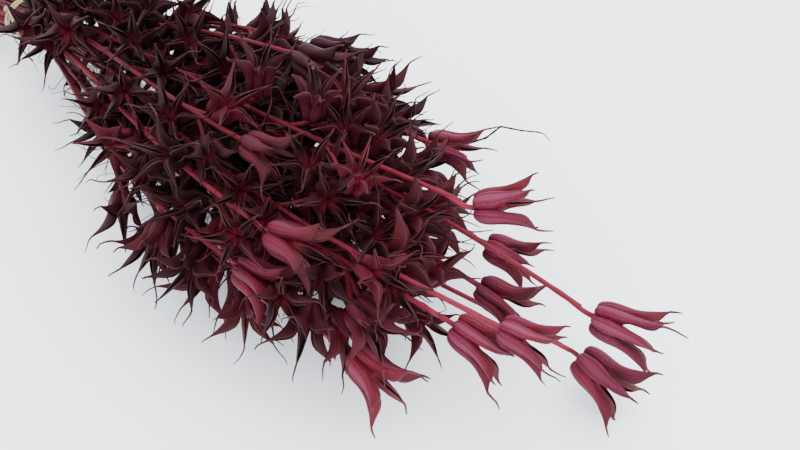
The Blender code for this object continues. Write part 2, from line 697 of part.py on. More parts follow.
def tail_mesh(route, collection):
    """A flat strip along its route, which narrows to its cut end."""
    path = smooth_route(route, TAIL_STATIONS)
    points, faces = [], []
    for k, centre in enumerate(path):
        along = unit(path[min(k + 1, len(path) - 1)] - path[max(k - 1, 0)])
        outward = centre - TIE_MIDDLE
        outward[0] = 0.0
        outward = unit(outward - along * (outward @ along))
        across = np.cross(along, outward)
        half = 0.5 * TAIL_WIDTH * (1.0 - TAIL_NARROWS * k)
        for a, b in ((-1, -1), (1, -1), (1, 1), (-1, 1)):
            points.append(centre + a * half * across + 0.5 * b * TAIL_THICKNESS * outward)
    for k in range(len(path) - 1):
        for m in range(4):
            after = (m + 1) % 4
            faces.append((4 * k + m, 4 * k + after, 4 * k + 4 + after, 4 * k + 4 + m))
    last = 4 * (len(path) - 1)
    faces += [(0, 1, 2, 3), (last, last + 1, last + 2, last + 3)]
    return mesh_object("tail", points, faces, collection)


def plain_material(name, colour, roughness):
    material = bpy.data.materials.new(name)
    material.use_nodes = True
    shader = material.node_tree.nodes["Principled BSDF"]
    shader.inputs["Base Color"].default_value = colour
    shader.inputs["Roughness"].default_value = roughness
    return material


def finish(body, material):
    """Trims the body to the surface, moves it to the part's own frame, and gives it its material."""
    trim_to_surface(body)
    body.data.transform(Matrix.Translation((-BUNCH_MIDDLE[0] * MM, -BUNCH_MIDDLE[1] * MM, 0.0)))
    body.data.materials.clear()
    body.data.materials.append(material)


def build():
    for old in list(bpy.data.objects):
        bpy.data.objects.remove(old)
    bunch = bpy.data.collections.new("nigella_bunch")
    extras = bpy.data.collections.new("pieces_to_fuse")
    for collection in (bunch, extras):
        bpy.context.scene.collection.children.link(collection)
    stems, pods = lay_out()
    red = plain_material("dyed_pod_and_stem", DRY_RED, 0.62)
    for i, (stem, stem_pods) in enumerate(zip(stems, pods)):
        body = stem_tube(f"stem_with_pods_{i + 1:02d}", stem, bunch)
        for k, pod in enumerate(stem_pods):
            mesh_object(f"pod_{k}", *pod_mesh(pod, k == 0 and i < len(FRONT_PODS)), extras)
        fuse(body, extras)
        finish(body, red)
    tie = tie_band(bunch)
    knot_mesh(extras)
    for route in TAILS:
        tail_mesh(route, extras)
    fuse(tie, extras)
    finish(tie, plain_material("raffia", RAFFIA, 0.7))


if __name__ == "__main__":
    build()
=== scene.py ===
# %% [markdown]
# # A tied bunch of dyed, dried nigella pods
# The bunch lies on a pale table. Every cut stem carries side stalks, and a seed pod sits on the end of
# each of them. A pod is five to seven follicles that are joined low down and open above into flat, boat-
# shaped blades, each of which ends in a thin style. The construction is already there as plain solids,
# one for each stem and one for the raffia tie. This script dresses them: it grows the same layout again
# from the same few values, and puts a fine surface where each plain one was.

# %% Load the fixed frame
import json
import math

import bpy
import numpy as np
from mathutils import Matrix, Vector

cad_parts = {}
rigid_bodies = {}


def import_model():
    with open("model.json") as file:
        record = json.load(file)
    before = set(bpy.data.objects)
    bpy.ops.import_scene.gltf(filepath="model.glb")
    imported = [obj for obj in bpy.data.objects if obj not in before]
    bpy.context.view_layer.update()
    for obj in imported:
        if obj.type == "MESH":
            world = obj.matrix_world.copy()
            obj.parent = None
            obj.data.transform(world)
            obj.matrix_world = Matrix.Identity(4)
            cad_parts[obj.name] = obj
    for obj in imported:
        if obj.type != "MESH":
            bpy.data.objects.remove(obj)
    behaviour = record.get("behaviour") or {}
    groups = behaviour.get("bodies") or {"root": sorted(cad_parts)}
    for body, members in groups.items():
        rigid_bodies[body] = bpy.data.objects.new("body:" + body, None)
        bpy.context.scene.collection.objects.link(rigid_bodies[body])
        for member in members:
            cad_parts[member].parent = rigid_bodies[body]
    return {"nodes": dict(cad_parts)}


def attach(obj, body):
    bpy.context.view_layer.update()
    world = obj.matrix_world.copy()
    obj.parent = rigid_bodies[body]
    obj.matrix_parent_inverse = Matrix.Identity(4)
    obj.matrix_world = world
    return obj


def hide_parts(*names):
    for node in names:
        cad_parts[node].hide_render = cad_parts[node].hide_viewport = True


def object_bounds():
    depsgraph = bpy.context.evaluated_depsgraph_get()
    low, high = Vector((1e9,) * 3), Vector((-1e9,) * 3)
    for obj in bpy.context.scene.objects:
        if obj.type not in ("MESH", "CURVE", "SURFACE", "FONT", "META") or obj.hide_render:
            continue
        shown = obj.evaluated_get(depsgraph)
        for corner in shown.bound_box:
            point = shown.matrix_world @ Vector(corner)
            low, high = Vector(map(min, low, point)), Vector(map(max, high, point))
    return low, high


for startup in list(bpy.data.objects):
    bpy.data.objects.remove(startup)
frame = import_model()
cad_low, cad_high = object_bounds()
print("solids:", len(frame["nodes"]), "box:", [round(1000 * v, 1) for v in (*cad_low, *cad_high)])

# %% [markdown]
# ## The layout's values
# A pod can only be finely modelled in the right place if the layout is known exactly. It could be read
# off the solids, but a design is clearer than a measurement, so the same driving values and the same
# seeded draws are repeated here. All of them are in millimetres, in a frame with x = 0 at the tie and z
# = 0 on the table.

# %% Driving values of the layout
MM = 0.001
FULL_TURN = 2.0 * math.pi

# Lengths are in millimetres. The layout's own frame has x = 0 at the tie and z = 0 on the surface.
# The middle of the whole bunch's outline, seen from above, is where x and y are 0 in the finished part.
BUNCH_MIDDLE = (165.7, -17.3)

# The bundle of stems: its section widens and deepens from the tie to the heads, and droops behind the tie.
STEMS = 24
STEM_RADIUS, STEM_TAPER = 1.45, 0.8
CUT_END_X, CUT_END_SCATTER = -128.0, (-7.0, 5.0)
CROWD_STEM_ENDS = (185.0, 330.0)
TIE_RADIUS, TIE_HEIGHT = 11.0, 32.0
TIE_SLOPE, REAR_HEIGHT, REAR_FLARE = 0.156, 12.1, 0.028
HEAD_WIDTH, WIDENS_OVER = 76.0, 170.0
HEAD_DEPTH, DEEPENS_OVER = 34.0, 150.0
HEAD_RISE, HEAD_DROOP = 0.034, 0.00036
BOW_ASIDE, BOW_LENGTH = -8.0, 460.0
SWAY, SWAY_BUILDS_OVER, SWAY_LENGTHS = 0.05, 80.0, (70.0, 62.0)
STATION_STEP, LAST_STATION_GAP = 35.0, 10.0

# The crowd of pods, drawn at random inside its outline: x, the middle y, half the width and half the height.
SEED = 11
PODS = 116
TRIES = 20000
CROWD = [
    (5.0, 9.0, 42.0, 44.0),
    (60.0, 9.0, 48.0, 50.0),
    (110.0, 7.0, 56.0, 56.0),
    (160.0, -6.0, 78.0, 58.0),
    (205.0, -17.0, 95.0, 62.0),
    (260.0, -20.0, 98.0, 64.0),
    (310.0, -31.0, 80.0, 57.0),
    (350.0, -46.0, 56.0, 42.0),
    (378.0, -50.0, 36.0, 32.0),
]
CROWD_FILL = 0.80
# Its pods lean outwards, less so towards the heads, and all of them a little up and to one side.
LEAN_OUT, LEAN_ANYHOW = (1.2, 2.4), 0.3
LEAN_SHARES = (1.4, 0.55)
FORWARDS = (0.8, -0.2, 0.35)
SIDE_SIZES, SIDE_OPENNESS = (0.72, 0.92), (1.0, 1.4)
END_OPENNESS = (0.85, 1.2)
POD_REACH = 25.0
CLEARANCE = 0.5

# The pods that stand out of the crowd on the longest stems, in the layout's frame: where each begins, its
# size, how far it has opened, and which way it leans from its stem.
FRONT_PODS = [
    ((424.0, -9.0, 63.0), 0.94, 0.72, (0.01, 0.16, 0.11)),
    ((421.0, -7.0, 23.0), 1.00, 1.05, (-0.02, -0.22, -0.10)),
    ((398.0, -45.0, 71.0), 0.78, 0.85, (0.0, 0.0, 0.0)),
    ((376.0, -50.0, 55.0), 0.92, 1.00, (0.0, -0.05, 0.0)),
    ((359.0, -11.0, 89.0), 0.86, 0.78, (0.05, 0.50, 0.30)),
    ((355.0, 13.0, 40.0), 0.84, 0.90, (0.01, 0.15, 0.10)),
    ((342.0, -80.0, 41.0), 0.94, 1.05, (-0.02, -0.19, -0.06)),
    ((303.0, 30.0, 64.0), 0.84, 0.90, (0.0, 0.15, 0.05)),
    ((370.0, -18.0, 47.0), 0.84, 1.10, (0.0, 0.0, 0.0)),
]

# Where a stem's end pod goes, and how far a crowded stem is cut back until that pod has room.
POD_STANDS_OFF = 5.0
END_STALK = 12.0
CUT_BACK, MOST_CUTS = 3.0, 60
END_WANDER, WANDER_GROWS = 0.02, 0.004

# Side stalks: how near and how steeply they join a stem, and their own thickness and bend.
STALK_RADIUS, STALK_WIDENS, STALK_RINGS = 1.2, 1.35, 3
STALK_REACH, SHORTEST_STALK, LONGEST_ASIDE = 25.0, 14.0, 34.0
STALK_ANGLES = (18.0, 40.0)
STALK_PULL = 0.38
FIRST_NODE_X, BARE_TOP = 4.0, 16.0
CLEAR_FROM_SHARE = 0.45

# How a pod is made to fit: its follicles bend in or out by these shares, it turns, and its styles shorten.
BENDS = (1.0, 0.7, 0.4, 1.35)
TURNS = 4
STYLE_SHARES = (1.0, 0.7, 0.6, 0.3)
SURFACE_DIP, SINKS_FROM, LIFTS_FROM = 0.9, 8.0, -14.0

# One pod follicle at full size, as radius and height from the foot of the pod.
BACK_AT_SPLIT, BLADE_BACK, TIP_BACK = (9.9, 13.5), (13.4, 23.0), (18.2, 29.4)
STYLE_ROOT, STYLE_END = (17.3, 29.8), (22.5, 42.0)
STYLE_CLEAR_OF_SURFACE = 0.4

# What differs from pod to pod: the number of follicles, their spacing and flare, and their styles.
FOLLICLE_COUNTS, COUNT_SHARES = (5, 6, 7), (0.45, 0.4, 0.15)
SPOKE_WANDER = 0.10
FLARES = (0.88, 1.12)
STYLE_BEND, STYLE_LENGTHS = 5.0, (0.7, 1.1)
# A direction that lies along no pod's axis, from which each pod's first spoke is found.
ODD_WAY = (0.31, 0.22, 0.93)

# Balls that fill a pod's body, as height and radius, and its follicles, as the distance from the axis, the
# height and the ball's own radius.
CORE_BALLS = [(3.5, 6.6), (7.5, 7.4), (11.0, 8.0)]
BLADE_BALLS = [
    (7.2, 4.0, 2.2),
    (8.0, 9.0, 2.2),
    (7.6, 14.0, 2.6),
    (10.2, 17.5, 2.1),
    (6.6, 18.5, 2.1),
    (12.0, 21.0, 1.9),
    (7.4, 22.5, 1.9),
    (9.8, 24.0, 1.9),
    (13.6, 24.5, 1.6),
    (11.8, 26.6, 1.5),
    (15.4, 27.2, 1.2),
    (17.3, 29.4, 0.9),
]
STYLE_BALLS, STYLE_THINS = 6, 0.8
BALL_STEP, BALLS_TOGETHER = 2.5, 16

# The raffia tie: its band's inner radius, the middle of its thickness and half its width, and its knot.
BAND_RADIUS, BAND_MIDDLE, BAND_HALF = 13.0, 0.6, 2.7
KNOT = (0.5, -9.6, 13.2)
KNOT_SIZE = (3.4, 3.0, 2.6)
TAIL_WIDTH = 2.4
# The tails' routes from the knot, from the middle of the tied stems.
TAILS = [
    [(1.0, -9.4, 13.0), (8.0, -12.6, 15.6), (17.0, -17.0, 16.4), (26.0, -21.5, 14.0), (34.0, -24.5, 9.5)],
    [(1.0, -10.2, 12.6), (5.0, -15.4, 9.4), (12.0, -18.4, 3.4), (21.0, -20.2, -2.6), (31.0, -21.0, -7.0)],
]

# The tie's number among the stems' numbers, which say who owns a place in the bunch.
TIE = -1
TIE_MIDDLE = np.array([0.0, 0.0, TIE_HEIGHT])

# %% [markdown]
# ## The bundle of stems
# The stems are held tight at the tie and fan out towards the heads. If every stem keeps one place in a
# unit disc, and the disc is stretched over the bundle's section at each x, no two of them ever cross.
# That is simpler and safer than letting each one wander and then pushing them apart.

# %% The bundle's section and the stems' places in it
def unit(vector):
    return vector / np.linalg.norm(vector)


def head_section(x):
    """Middle (y, z) and half width and half height of the stems' bundle at x."""
    ahead = max(x, 0.0)
    middle_y = BOW_ASIDE * math.sin(math.pi * min(ahead, BOW_LENGTH) / BOW_LENGTH) ** 2
    middle_z = max(TIE_HEIGHT + TIE_SLOPE * x, REAR_HEIGHT) + HEAD_RISE * ahead - HEAD_DROOP * ahead**2
    width = TIE_RADIUS + HEAD_WIDTH * (1.0 - math.exp(-((ahead / WIDENS_OVER) ** 2)))
    height = TIE_RADIUS + HEAD_DEPTH * (1.0 - math.exp(-((ahead / DEEPENS_OVER) ** 2)))
    return middle_y, middle_z, width + REAR_FLARE * max(-x, 0.0), height


def spread_over_disc(fixed, count):
    """Evenly spaced places in the unit disc. The first are given, and the others push each other apart."""
    golden_turn = math.pi * (3.0 - math.sqrt(5.0))
    rounds, strength, longest_push = 400, 0.00012, 0.02
    free = np.arange(count - len(fixed))
    reach = np.sqrt((free + 0.5) / count)
    spiral = np.stack([reach * np.cos(free * golden_turn), reach * np.sin(free * golden_turn)], axis=1)
    places = np.concatenate([fixed, spiral])
    for _ in range(rounds):
        apart = places[:, None] - places[None]
        distance = np.linalg.norm(apart, axis=2) + np.eye(count)
        push = (apart / distance[..., None] ** 4).sum(axis=1) * strength
        push[: len(fixed)] = 0.0
        places = places + np.clip(push, -longest_push, longest_push)
        places = places / np.maximum(np.linalg.norm(places, axis=1), 1.0)[:, None]
    return places


# %% [markdown]
# A smooth curve through a few given points is needed for the tie's tails and for a pod's outline.
# Cubic pieces with matching slopes pass through every point, which makes the route easy to control.

# %% A smooth curve through points
def cubic(s, start, start_slope, end, end_slope):
    """The cubic that has both places and both slopes, at the share s of the way."""
    return (
        (2 * s**3 - 3 * s**2 + 1) * start
        + (s**3 - 2 * s**2 + s) * start_slope
        + (3 * s**2 - 2 * s**3) * end
        + (s**3 - s**2) * end_slope
    )


def through(knots, t):
    """Points at parameters t on the smooth curve through the knots, which sit at t = 0, 1, 2 and so on."""
    knots = np.asarray(knots, float)
    slopes = np.gradient(knots, axis=0)
    k = np.clip(t.astype(int), 0, len(knots) - 2)
    return cubic((t - k)[:, None], knots[k], slopes[k], knots[k + 1], slopes[k + 1])


def smooth_route(route, count):
    """Points along a smooth curve through the route's own points, in the layout's frame."""
    return through(np.array(route) + TIE_MIDDLE, np.linspace(0.0, len(route) - 1.0, count))


# %% One cut stem
class Stem:
    """One cut stem: its place in the bundle's section, where it ends, and how it waves on the way."""

    def __init__(self, place, end_x, draw):
        self.place = place
        self.end_x = end_x
        self.cut_x = CUT_END_X + draw.uniform(*CUT_END_SCATTER)
        self.phase = draw.uniform(0.0, FULL_TURN, 2)

    def point(self, x):
        middle_y, middle_z, width, height = head_section(x)
        built_up = min(max(x, 0.0), SWAY_BUILDS_OVER) / SWAY_BUILDS_OVER
        sway = SWAY * math.sin(built_up * math.pi / 2.0)
        u = self.place[0] + sway * math.sin(x / SWAY_LENGTHS[0] + self.phase[0])
        v = self.place[1] + sway * math.sin(x / SWAY_LENGTHS[1] + self.phase[1])
        return np.array([x, middle_y + width * u, middle_z + height * v])

    def stations(self):
        """Where along x the stem's tube has its rings."""
        ahead = np.arange(STATION_STEP, self.end_x - LAST_STATION_GAP, STATION_STEP)
        return np.concatenate([(self.cut_x, 0.5 * self.cut_x, 0.0), ahead, (self.end_x,)])

    def on_tube(self, x):
        """Points on the middle line of the tube, which is straight between its rings."""
        rings = np.array([self.point(station) for station in self.stations()])
        return np.stack([np.interp(x, rings[:, 0], rings[:, k]) for k in range(3)], axis=-1)

    def direction(self, x):
        return unit(self.point(x + 2.0) - self.point(x - 2.0))


# %% [markdown]
# ## A pod's own frame
# Each pod has an axis and spokes round it. A point on a pod is given by its distance from the axis, its
# height and its offset across the spoke, so that one outline can serve every follicle of every pod.

# %% One pod and its stalk
class Pod:
    """A seed pod on its stalk. Each draw gives one follicle's place round the pod, flare and style."""

    def __init__(self, base, axis, openness, sizes, draw):
        self.base, self.axis = base, unit(axis)
        self.side = unit(np.cross(self.axis, ODD_WAY))
        self.other_side = np.cross(self.axis, self.side)
        self.size = draw.uniform(*sizes)
        self.count = int(draw.choice(FOLLICLE_COUNTS, p=COUNT_SHARES))
        turn = draw.uniform(0.0, FULL_TURN)
        wander = draw.uniform(-SPOKE_WANDER, SPOKE_WANDER, self.count)
        self.angles = turn + FULL_TURN * (np.arange(self.count) + wander) / self.count
        self.flare = openness * draw.uniform(*FLARES, self.count)
        self.style_bend = draw.uniform(-STYLE_BEND, STYLE_BEND, self.count)
        self.style_length = draw.uniform(*STYLE_LENGTHS, self.count)

    def place(self, angle, radius, height, across=0.0, flare=1.0):
        """Points at a radius, height and sideways offset, on the spokes at these angles round the axis."""
        angle, radius, height, across, flare = (
            np.asarray(value)[..., None] for value in (angle, radius, height, across, flare)
        )
        split_radius, split_height = BACK_AT_SPLIT
        radius = np.where(height > split_height, split_radius * (radius / split_radius) ** flare, radius)
        spoke = np.cos(angle) * self.side + np.sin(angle) * self.other_side
        tangent = np.cos(angle) * self.other_side - np.sin(angle) * self.side
        return self.base + self.size * (radius * spoke + height * self.axis + across * tangent)

    def style_end(self, k):
        """The free end of follicle k's style, which leans to one side and stays above the surface."""
        radius = TIP_BACK[0] + (STYLE_END[0] - TIP_BACK[0]) * self.style_length[k]
        height = TIP_BACK[1] + (STYLE_END[1] - TIP_BACK[1]) * self.style_length[k]
        end = self.place(self.angles[k], radius, height, self.style_bend[k], self.flare[k])
        return np.array([end[0], end[1], max(end[2], STYLE_CLEAR_OF_SURFACE)])

    def grow_from(self, root, way):
        """Where the stalk leaves its stem, and which way it sets out."""
        self.root, self.root_way = root, unit(way)

    def stalk(self, share):
        """A point on the stalk, a cubic curve that leaves along the stem and meets the pod along its axis."""
        pull = STALK_PULL * np.linalg.norm(self.base - self.root)
        first = self.root + pull * self.root_way
        second = self.base - pull * self.axis
        rest = 1.0 - share
        return (
            rest**3 * self.root
            + 3.0 * rest**2 * share * first
            + 3.0 * rest * share**2 * second
            + share**3 * self.base
        )

    def core_balls(self):
        """Centres and radii of balls that fill the joined lower half of the pod."""
        height, ball = np.array(CORE_BALLS).T
        return self.base + self.size * np.outer(height, self.axis), self.size * ball

    def blade_balls(self, which=slice(None)):
        """Centres and radii of balls that fill the follicles, or those of one of them."""
        radius, height, ball = np.array(BLADE_BALLS).T
        angles, flare = np.atleast_1d(self.angles[which])[:, None], np.atleast_1d(self.flare[which])[:, None]
        blades = self.place(angles, radius, height, 0.0, flare)
        return blades.reshape(-1, 3), self.size * np.tile(ball, len(angles))

    def style_balls(self, k):
        """Centres and radii of balls along follicle k's style, which thins to its end."""
        tip = self.place(self.angles[k], *STYLE_ROOT, 0.0, self.flare[k])
        shares = np.linspace(0.1, 1.0, STYLE_BALLS)
        middles = tip + shares[:, None] * (self.style_end(k) - tip)
        return middles, self.size * (1.0 - STYLE_THINS * shares)

    def lowest(self):
        """The height of the lowest back or tip, whichever is nearer the surface."""
        backs = [self.place(self.angles, *corner, 0.0, self.flare)[:, 2] for corner in (BLADE_BACK, TIP_BACK)]
        return float(np.min(backs))

    def stalk_balls(self, first_share):
        """Balls along the stalk, which is straight between its rings."""
        count = 2 + int(np.linalg.norm(self.base - self.root) / BALL_STEP)
        shares = np.linspace(first_share, 1.0, count)
        ring_shares = np.linspace(0.0, 1.0, STALK_RINGS)
        rings = np.array([self.stalk(share) for share in ring_shares])
        middles = np.stack([np.interp(shares, ring_shares, rings[:, k]) for k in range(3)], axis=-1)
        return middles, np.full(count, STALK_RADIUS)


# %% [markdown]
# ## Room for every pod
# Pods may not run through each other. Balls that fill each shape make the test quick: two shapes are
# clear when all their balls are. A pod that doesn't fit turns a little, or folds some of its follicles
# in or out, as crowded pods do on the real bunch.

# %% What already takes up space
class Room:
    """What already takes up space, as groups of balls, each with the number of the stem that owns it."""

    def __init__(self):
        self.middles, self.reaches, self.groups = [], [], []
        self.table = None
        self.clearance = CLEARANCE

    def add(self, centres, radii, owner):
        middle = centres.mean(axis=0)
        self.middles.append(middle)
        self.reaches.append(float((np.linalg.norm(centres - middle, axis=1) + radii).max()))
        self.groups.append((centres, radii, owner))
        self.table = None

    def is_free(self, centres, radii, but_not=None):
        """Whether the balls keep clear of all that is here, apart from what one stem may own."""
        middle = centres.mean(axis=0)
        reach = float((np.linalg.norm(centres - middle, axis=1) + radii).max())
        if self.table is None:
            self.table = np.array(self.middles), np.array(self.reaches)
        middles, reaches = self.table
        apart = np.linalg.norm(middles - middle, axis=1)
        for i in np.nonzero(apart < reaches + reach + self.clearance)[0]:
            others, other_radii, owner = self.groups[i]
            if owner == but_not:
                continue
            gap = np.linalg.norm(centres[:, None] - others[None], axis=2) - radii[:, None] - other_radii[None]
            if gap.min() < self.clearance:
                return False
        return True


def settle(pod):
    """Lets a pod that is near the surface down onto it, or lifts one that would be in it."""
    lowest = pod.lowest()
    if LIFTS_FROM < lowest < SINKS_FROM:
        pod.base = pod.base - np.array([0.0, 0.0, lowest + SURFACE_DIP])
    return lowest > LIFTS_FROM


def crowd_section(x):
    """Middle (y, z) and half width and half height of the crowd of pods at x, which may be an array."""
    stations, *columns = zip(*CROWD)
    middle_y, half_width, half_height = (np.interp(x, stations, column) for column in columns)
    middle_z = np.interp(x, stations, [head_section(station)[1] for station in stations])
    return middle_y, middle_z, half_width, half_height


def in_crowd(pod):
    """Whether the pod's blades are within the crowd's outline. Its styles may stand out of it."""
    x, y, z = pod.blade_balls()[0].T
    middle_y, middle_z, half_width, half_height = crowd_section(x)
    reach = ((y - middle_y) / half_width) ** 2 + ((z - middle_z) / half_height) ** 2
    return bool((x.max() < CROWD[-1][0]) and (reach < 1.0).all())


def side_pod(room, draw):
    """A pod at a place drawn from the crowd's outline, leaning outwards, or None where there is no room."""
    x = draw.uniform(CROWD[0][0], CROWD[-1][0] - POD_REACH)
    middle_y, middle_z, half_width, half_height = crowd_section(x)
    turn, share = draw.uniform(0.0, FULL_TURN), CROWD_FILL * math.sqrt(draw.uniform())
    lean = np.array([0.0, share * math.cos(turn), share * math.sin(turn)])
    base = np.array([x, middle_y + half_width * lean[1], middle_z + half_height * lean[2]])
    lean_share = np.interp(x, (CROWD[0][0], CROWD[-1][0]), LEAN_SHARES)
    outwards = lean_share * draw.uniform(*LEAN_OUT) * lean
    axis = np.array(FORWARDS) + outwards + LEAN_ANYHOW * draw.normal(0.0, 1.0, 3)
    pod = Pod(base, axis, draw.uniform(*SIDE_OPENNESS), SIDE_SIZES, draw)
    if room.is_free(*pod.core_balls()) and in_crowd(pod):
        return pod
    return None


def nearest_stem(stems, base, steepness):
    """The stem whose side stalk reaches the pod best, and where along it the stalk leaves."""
    best = None
    for i, stem in enumerate(stems):
        aside = np.linalg.norm(stem.point(base[0] - STALK_REACH)[1:] - base[1:])
        root_x = base[0] - max(aside / steepness, SHORTEST_STALK)
        if FIRST_NODE_X < root_x < stem.end_x - BARE_TOP and (best is None or aside < best[0]):
            best = aside, i, root_x
    return best


def bend_clear(room, pod):
    """Turns the pod and bends its follicles in or out, and says whether that made all of them clear."""
    for _ in range(TURNS):
        crossed = 0
        for k, flare in enumerate(pod.flare):
            for bend in BENDS:
                pod.flare[k] = flare * bend
                if room.is_free(*pod.blade_balls(k)):
                    break
            else:
                pod.flare[k] = flare
                crossed += 1
        if crossed == 0:
            return True
        pod.angles = pod.angles + FULL_TURN / pod.count / TURNS
    return False


# %% [markdown]
# The pods on the ends of the main stems come first, then the side pods, until the crowd is full. Each
# side pod gets its stalk from the nearest stem.

# %% Pods are kept one by one
def keep_side_pod(room, pods, stems, pod, draw):
    """Gives the pod a stalk on the nearest stem, and keeps it if both have room."""
    if not settle(pod) or not room.is_free(*pod.core_balls()) or not bend_clear(room, pod):
        return
    best = nearest_stem(stems, pod.base, math.tan(math.radians(draw.uniform(*STALK_ANGLES))))
    if best is None or best[0] > LONGEST_ASIDE:
        return
    _, i, root_x = best
    root = stems[i].on_tube(root_x)
    pod.grow_from(root, stems[i].direction(root_x) + 0.5 * unit(pod.base - root))
    if room.is_free(*pod.stalk_balls(0.0), but_not=i) and room.is_free(*pod.stalk_balls(CLEAR_FROM_SHARE)):
        keep(room, pods, i, pod)


def keep(room, pods, i, pod):
    """Adds the pod to stem i, with each style as long as there is room for."""
    for k in range(pod.count):
        for share in STYLE_SHARES:
            pod.style_length[k] *= share
            if room.is_free(*pod.style_balls(k), but_not=i):
                break
    for balls in (pod.core_balls(), pod.blade_balls(), pod.stalk_balls(0.0)):
        room.add(*balls, i)
    for k in range(pod.count):
        room.add(*pod.style_balls(k), i)
    pods[i].append(pod)


def keep_end_pod(room, pods, stems, i, draw):
    """The pod on the end of main stem i. A stem in the crowd is cut back until its pod has room."""
    stem, stands_out = stems[i], i < len(FRONT_PODS)
    sizes, openness, lean = SIDE_SIZES, draw.uniform(*END_OPENNESS), np.zeros(3)
    if stands_out:
        size, openness, lean = FRONT_PODS[i][1:]
        sizes = size, size
    for attempt in range(MOST_CUTS):
        along = stem.direction(stem.end_x - POD_STANDS_OFF - 1.0)
        base = stem.point(stem.end_x) + POD_STANDS_OFF * along
        wander = (END_WANDER + WANDER_GROWS * attempt) * draw.normal(0.0, 1.0, 3)
        pod = Pod(base, along + lean + wander, openness, sizes, draw)
        pod.grow_from(stem.on_tube(stem.end_x - END_STALK), along)
        if stands_out or in_crowd(pod):
            settle(pod)
            pieces = zip(pod.core_balls(), pod.blade_balls(), pod.stalk_balls(0.0))
            body = [np.concatenate(piece) for piece in pieces]
            if room.is_free(*body, but_not=i):
                keep(room, pods, i, pod)
                return
        if not stands_out:
            stem.end_x -= CUT_BACK


def grow_stems(draw):
    """The main stems, evenly spread over the bundle's section. The first of them end at the front pods."""
    fixed = []
    for (x, y, z), *_ in FRONT_PODS:
        middle_y, middle_z, width, height = head_section(x)
        fixed.append(((y - middle_y) / width, (z - middle_z) / height))
    front_ends = [place[0] - POD_STANDS_OFF for place, *_ in FRONT_PODS]
    crowd_ends = np.linspace(*CROWD_STEM_ENDS, STEMS - len(FRONT_PODS))
    ends = [*front_ends, *crowd_ends]
    return [Stem(place, end_x, draw) for place, end_x in zip(spread_over_disc(fixed, STEMS), ends)]


def room_taken(stems):
    """The room that the stems and the tie take up."""
    room = Room()
    for i, stem in enumerate(stems):
        points = stem.on_tube(np.arange(stem.cut_x, stem.end_x, BALL_STEP))
        for start in range(0, len(points), BALLS_TOGETHER):
            part = points[start : start + BALLS_TOGETHER]
            room.add(part, np.full(len(part), STEM_RADIUS), i)
    for route in TAILS:
        room.add(smooth_route(route, 24), np.full(24, TAIL_WIDTH / 2.0), TIE)
    turns = np.linspace(0.0, FULL_TURN, 48)
    reach = BAND_RADIUS + BAND_MIDDLE
    ring = np.stack([np.zeros(48), reach * np.cos(turns), reach * np.sin(turns)], axis=1)
    room.add(ring + TIE_MIDDLE, np.full(48, BAND_HALF), TIE)
    room.add(np.array([KNOT]) + TIE_MIDDLE, np.array([max(KNOT_SIZE)]), TIE)
    return room


def lay_out():
    """The stems of the bunch, and for each of them its pods, none of which touches another stem's."""
    draw = np.random.default_rng(SEED)
    stems = grow_stems(draw)
    room = room_taken(stems)
    pods = [[] for _ in stems]
    for i in range(STEMS):
        keep_end_pod(room, pods, stems, i, draw)
    for _ in range(TRIES):
        if sum(map(len, pods)) == PODS:
            break
        pod = side_pod(room, draw)
        if pod is not None:
            keep_side_pod(room, pods, stems, pod, draw)
    return stems, pods, room, draw


stems, pods, room, draw = lay_out()
solid_pods = [len(own_pods) for own_pods in pods]
print("stems:", len(stems), "pods:", sum(solid_pods))

# %% [markdown]
# The solids hold as many pods as a light model can carry, at their true size. The real bunch is denser,
# so the rest are added here by the same rule. They fit into the gaps between the first ones, and may
# press into their neighbours by PRESSED, as dry pods do.

# %% The rest of the pods
MORE_TRIES, PRESSED = 7000, -1.6
room.clearance = PRESSED
for _ in range(MORE_TRIES):
    pod = side_pod(room, draw)
    if pod is not None:
        keep_side_pod(room, pods, stems, pod, draw)
print("pods with the rest:", sum(map(len, pods)))

# %% [markdown]
# Some pods hang close behind the tie and hide the stems there. They sit on the outside of the bundle and
# lean forwards along it, so the outline of the crowd isn't the rule that places them.

# %% The pods by the tie
NEAR_TIE, NEAR_TIE_TRIES = (36.0, 92.0), 1500
STANDS_OUT, UPPER_SIDE = (3.0, 9.0), (0.2, 2.5)
LEAN_BY_TIE, FORWARDS_BY_TIE, WANDER_BY_TIE = 0.5, (0.3, 0.9), 0.2


def pod_by_the_tie(draw):
    """A pod just off the bundle's outside, leaning outwards and forwards."""
    x, turn = draw.uniform(*NEAR_TIE), draw.uniform(*UPPER_SIDE)
    middle_y, middle_z, width, height = head_section(x)
    out = np.array([0.0, math.cos(turn), math.sin(turn)])
    outside = np.array([0.0, width, height]) + draw.uniform(*STANDS_OUT)
    forwards = np.array([draw.uniform(*FORWARDS_BY_TIE), 0.0, 0.0])
    axis = LEAN_BY_TIE * out + forwards + WANDER_BY_TIE * draw.normal(0.0, 1.0, 3)
    base = np.array([x, middle_y, middle_z]) + outside * out
    return Pod(base, axis, draw.uniform(*SIDE_OPENNESS), SIDE_SIZES, draw)


so_far = sum(map(len, pods))
for _ in range(NEAR_TIE_TRIES):
    keep_side_pod(room, pods, stems, pod_by_the_tie(draw), draw)
print("pods by the tie:", sum(map(len, pods)) - so_far)

# %% [markdown]
# ## From arrays to meshes
# Everything on this bunch is a closed tube of some kind: a stem, a stalk, a style, and even a follicle,
# which is a tube with a folded section. So one helper gathers grids of points, closes each tube round
# its section and at its two ends, and writes all of them into one mesh at once. Arrays keep that fast
# for half a million faces.

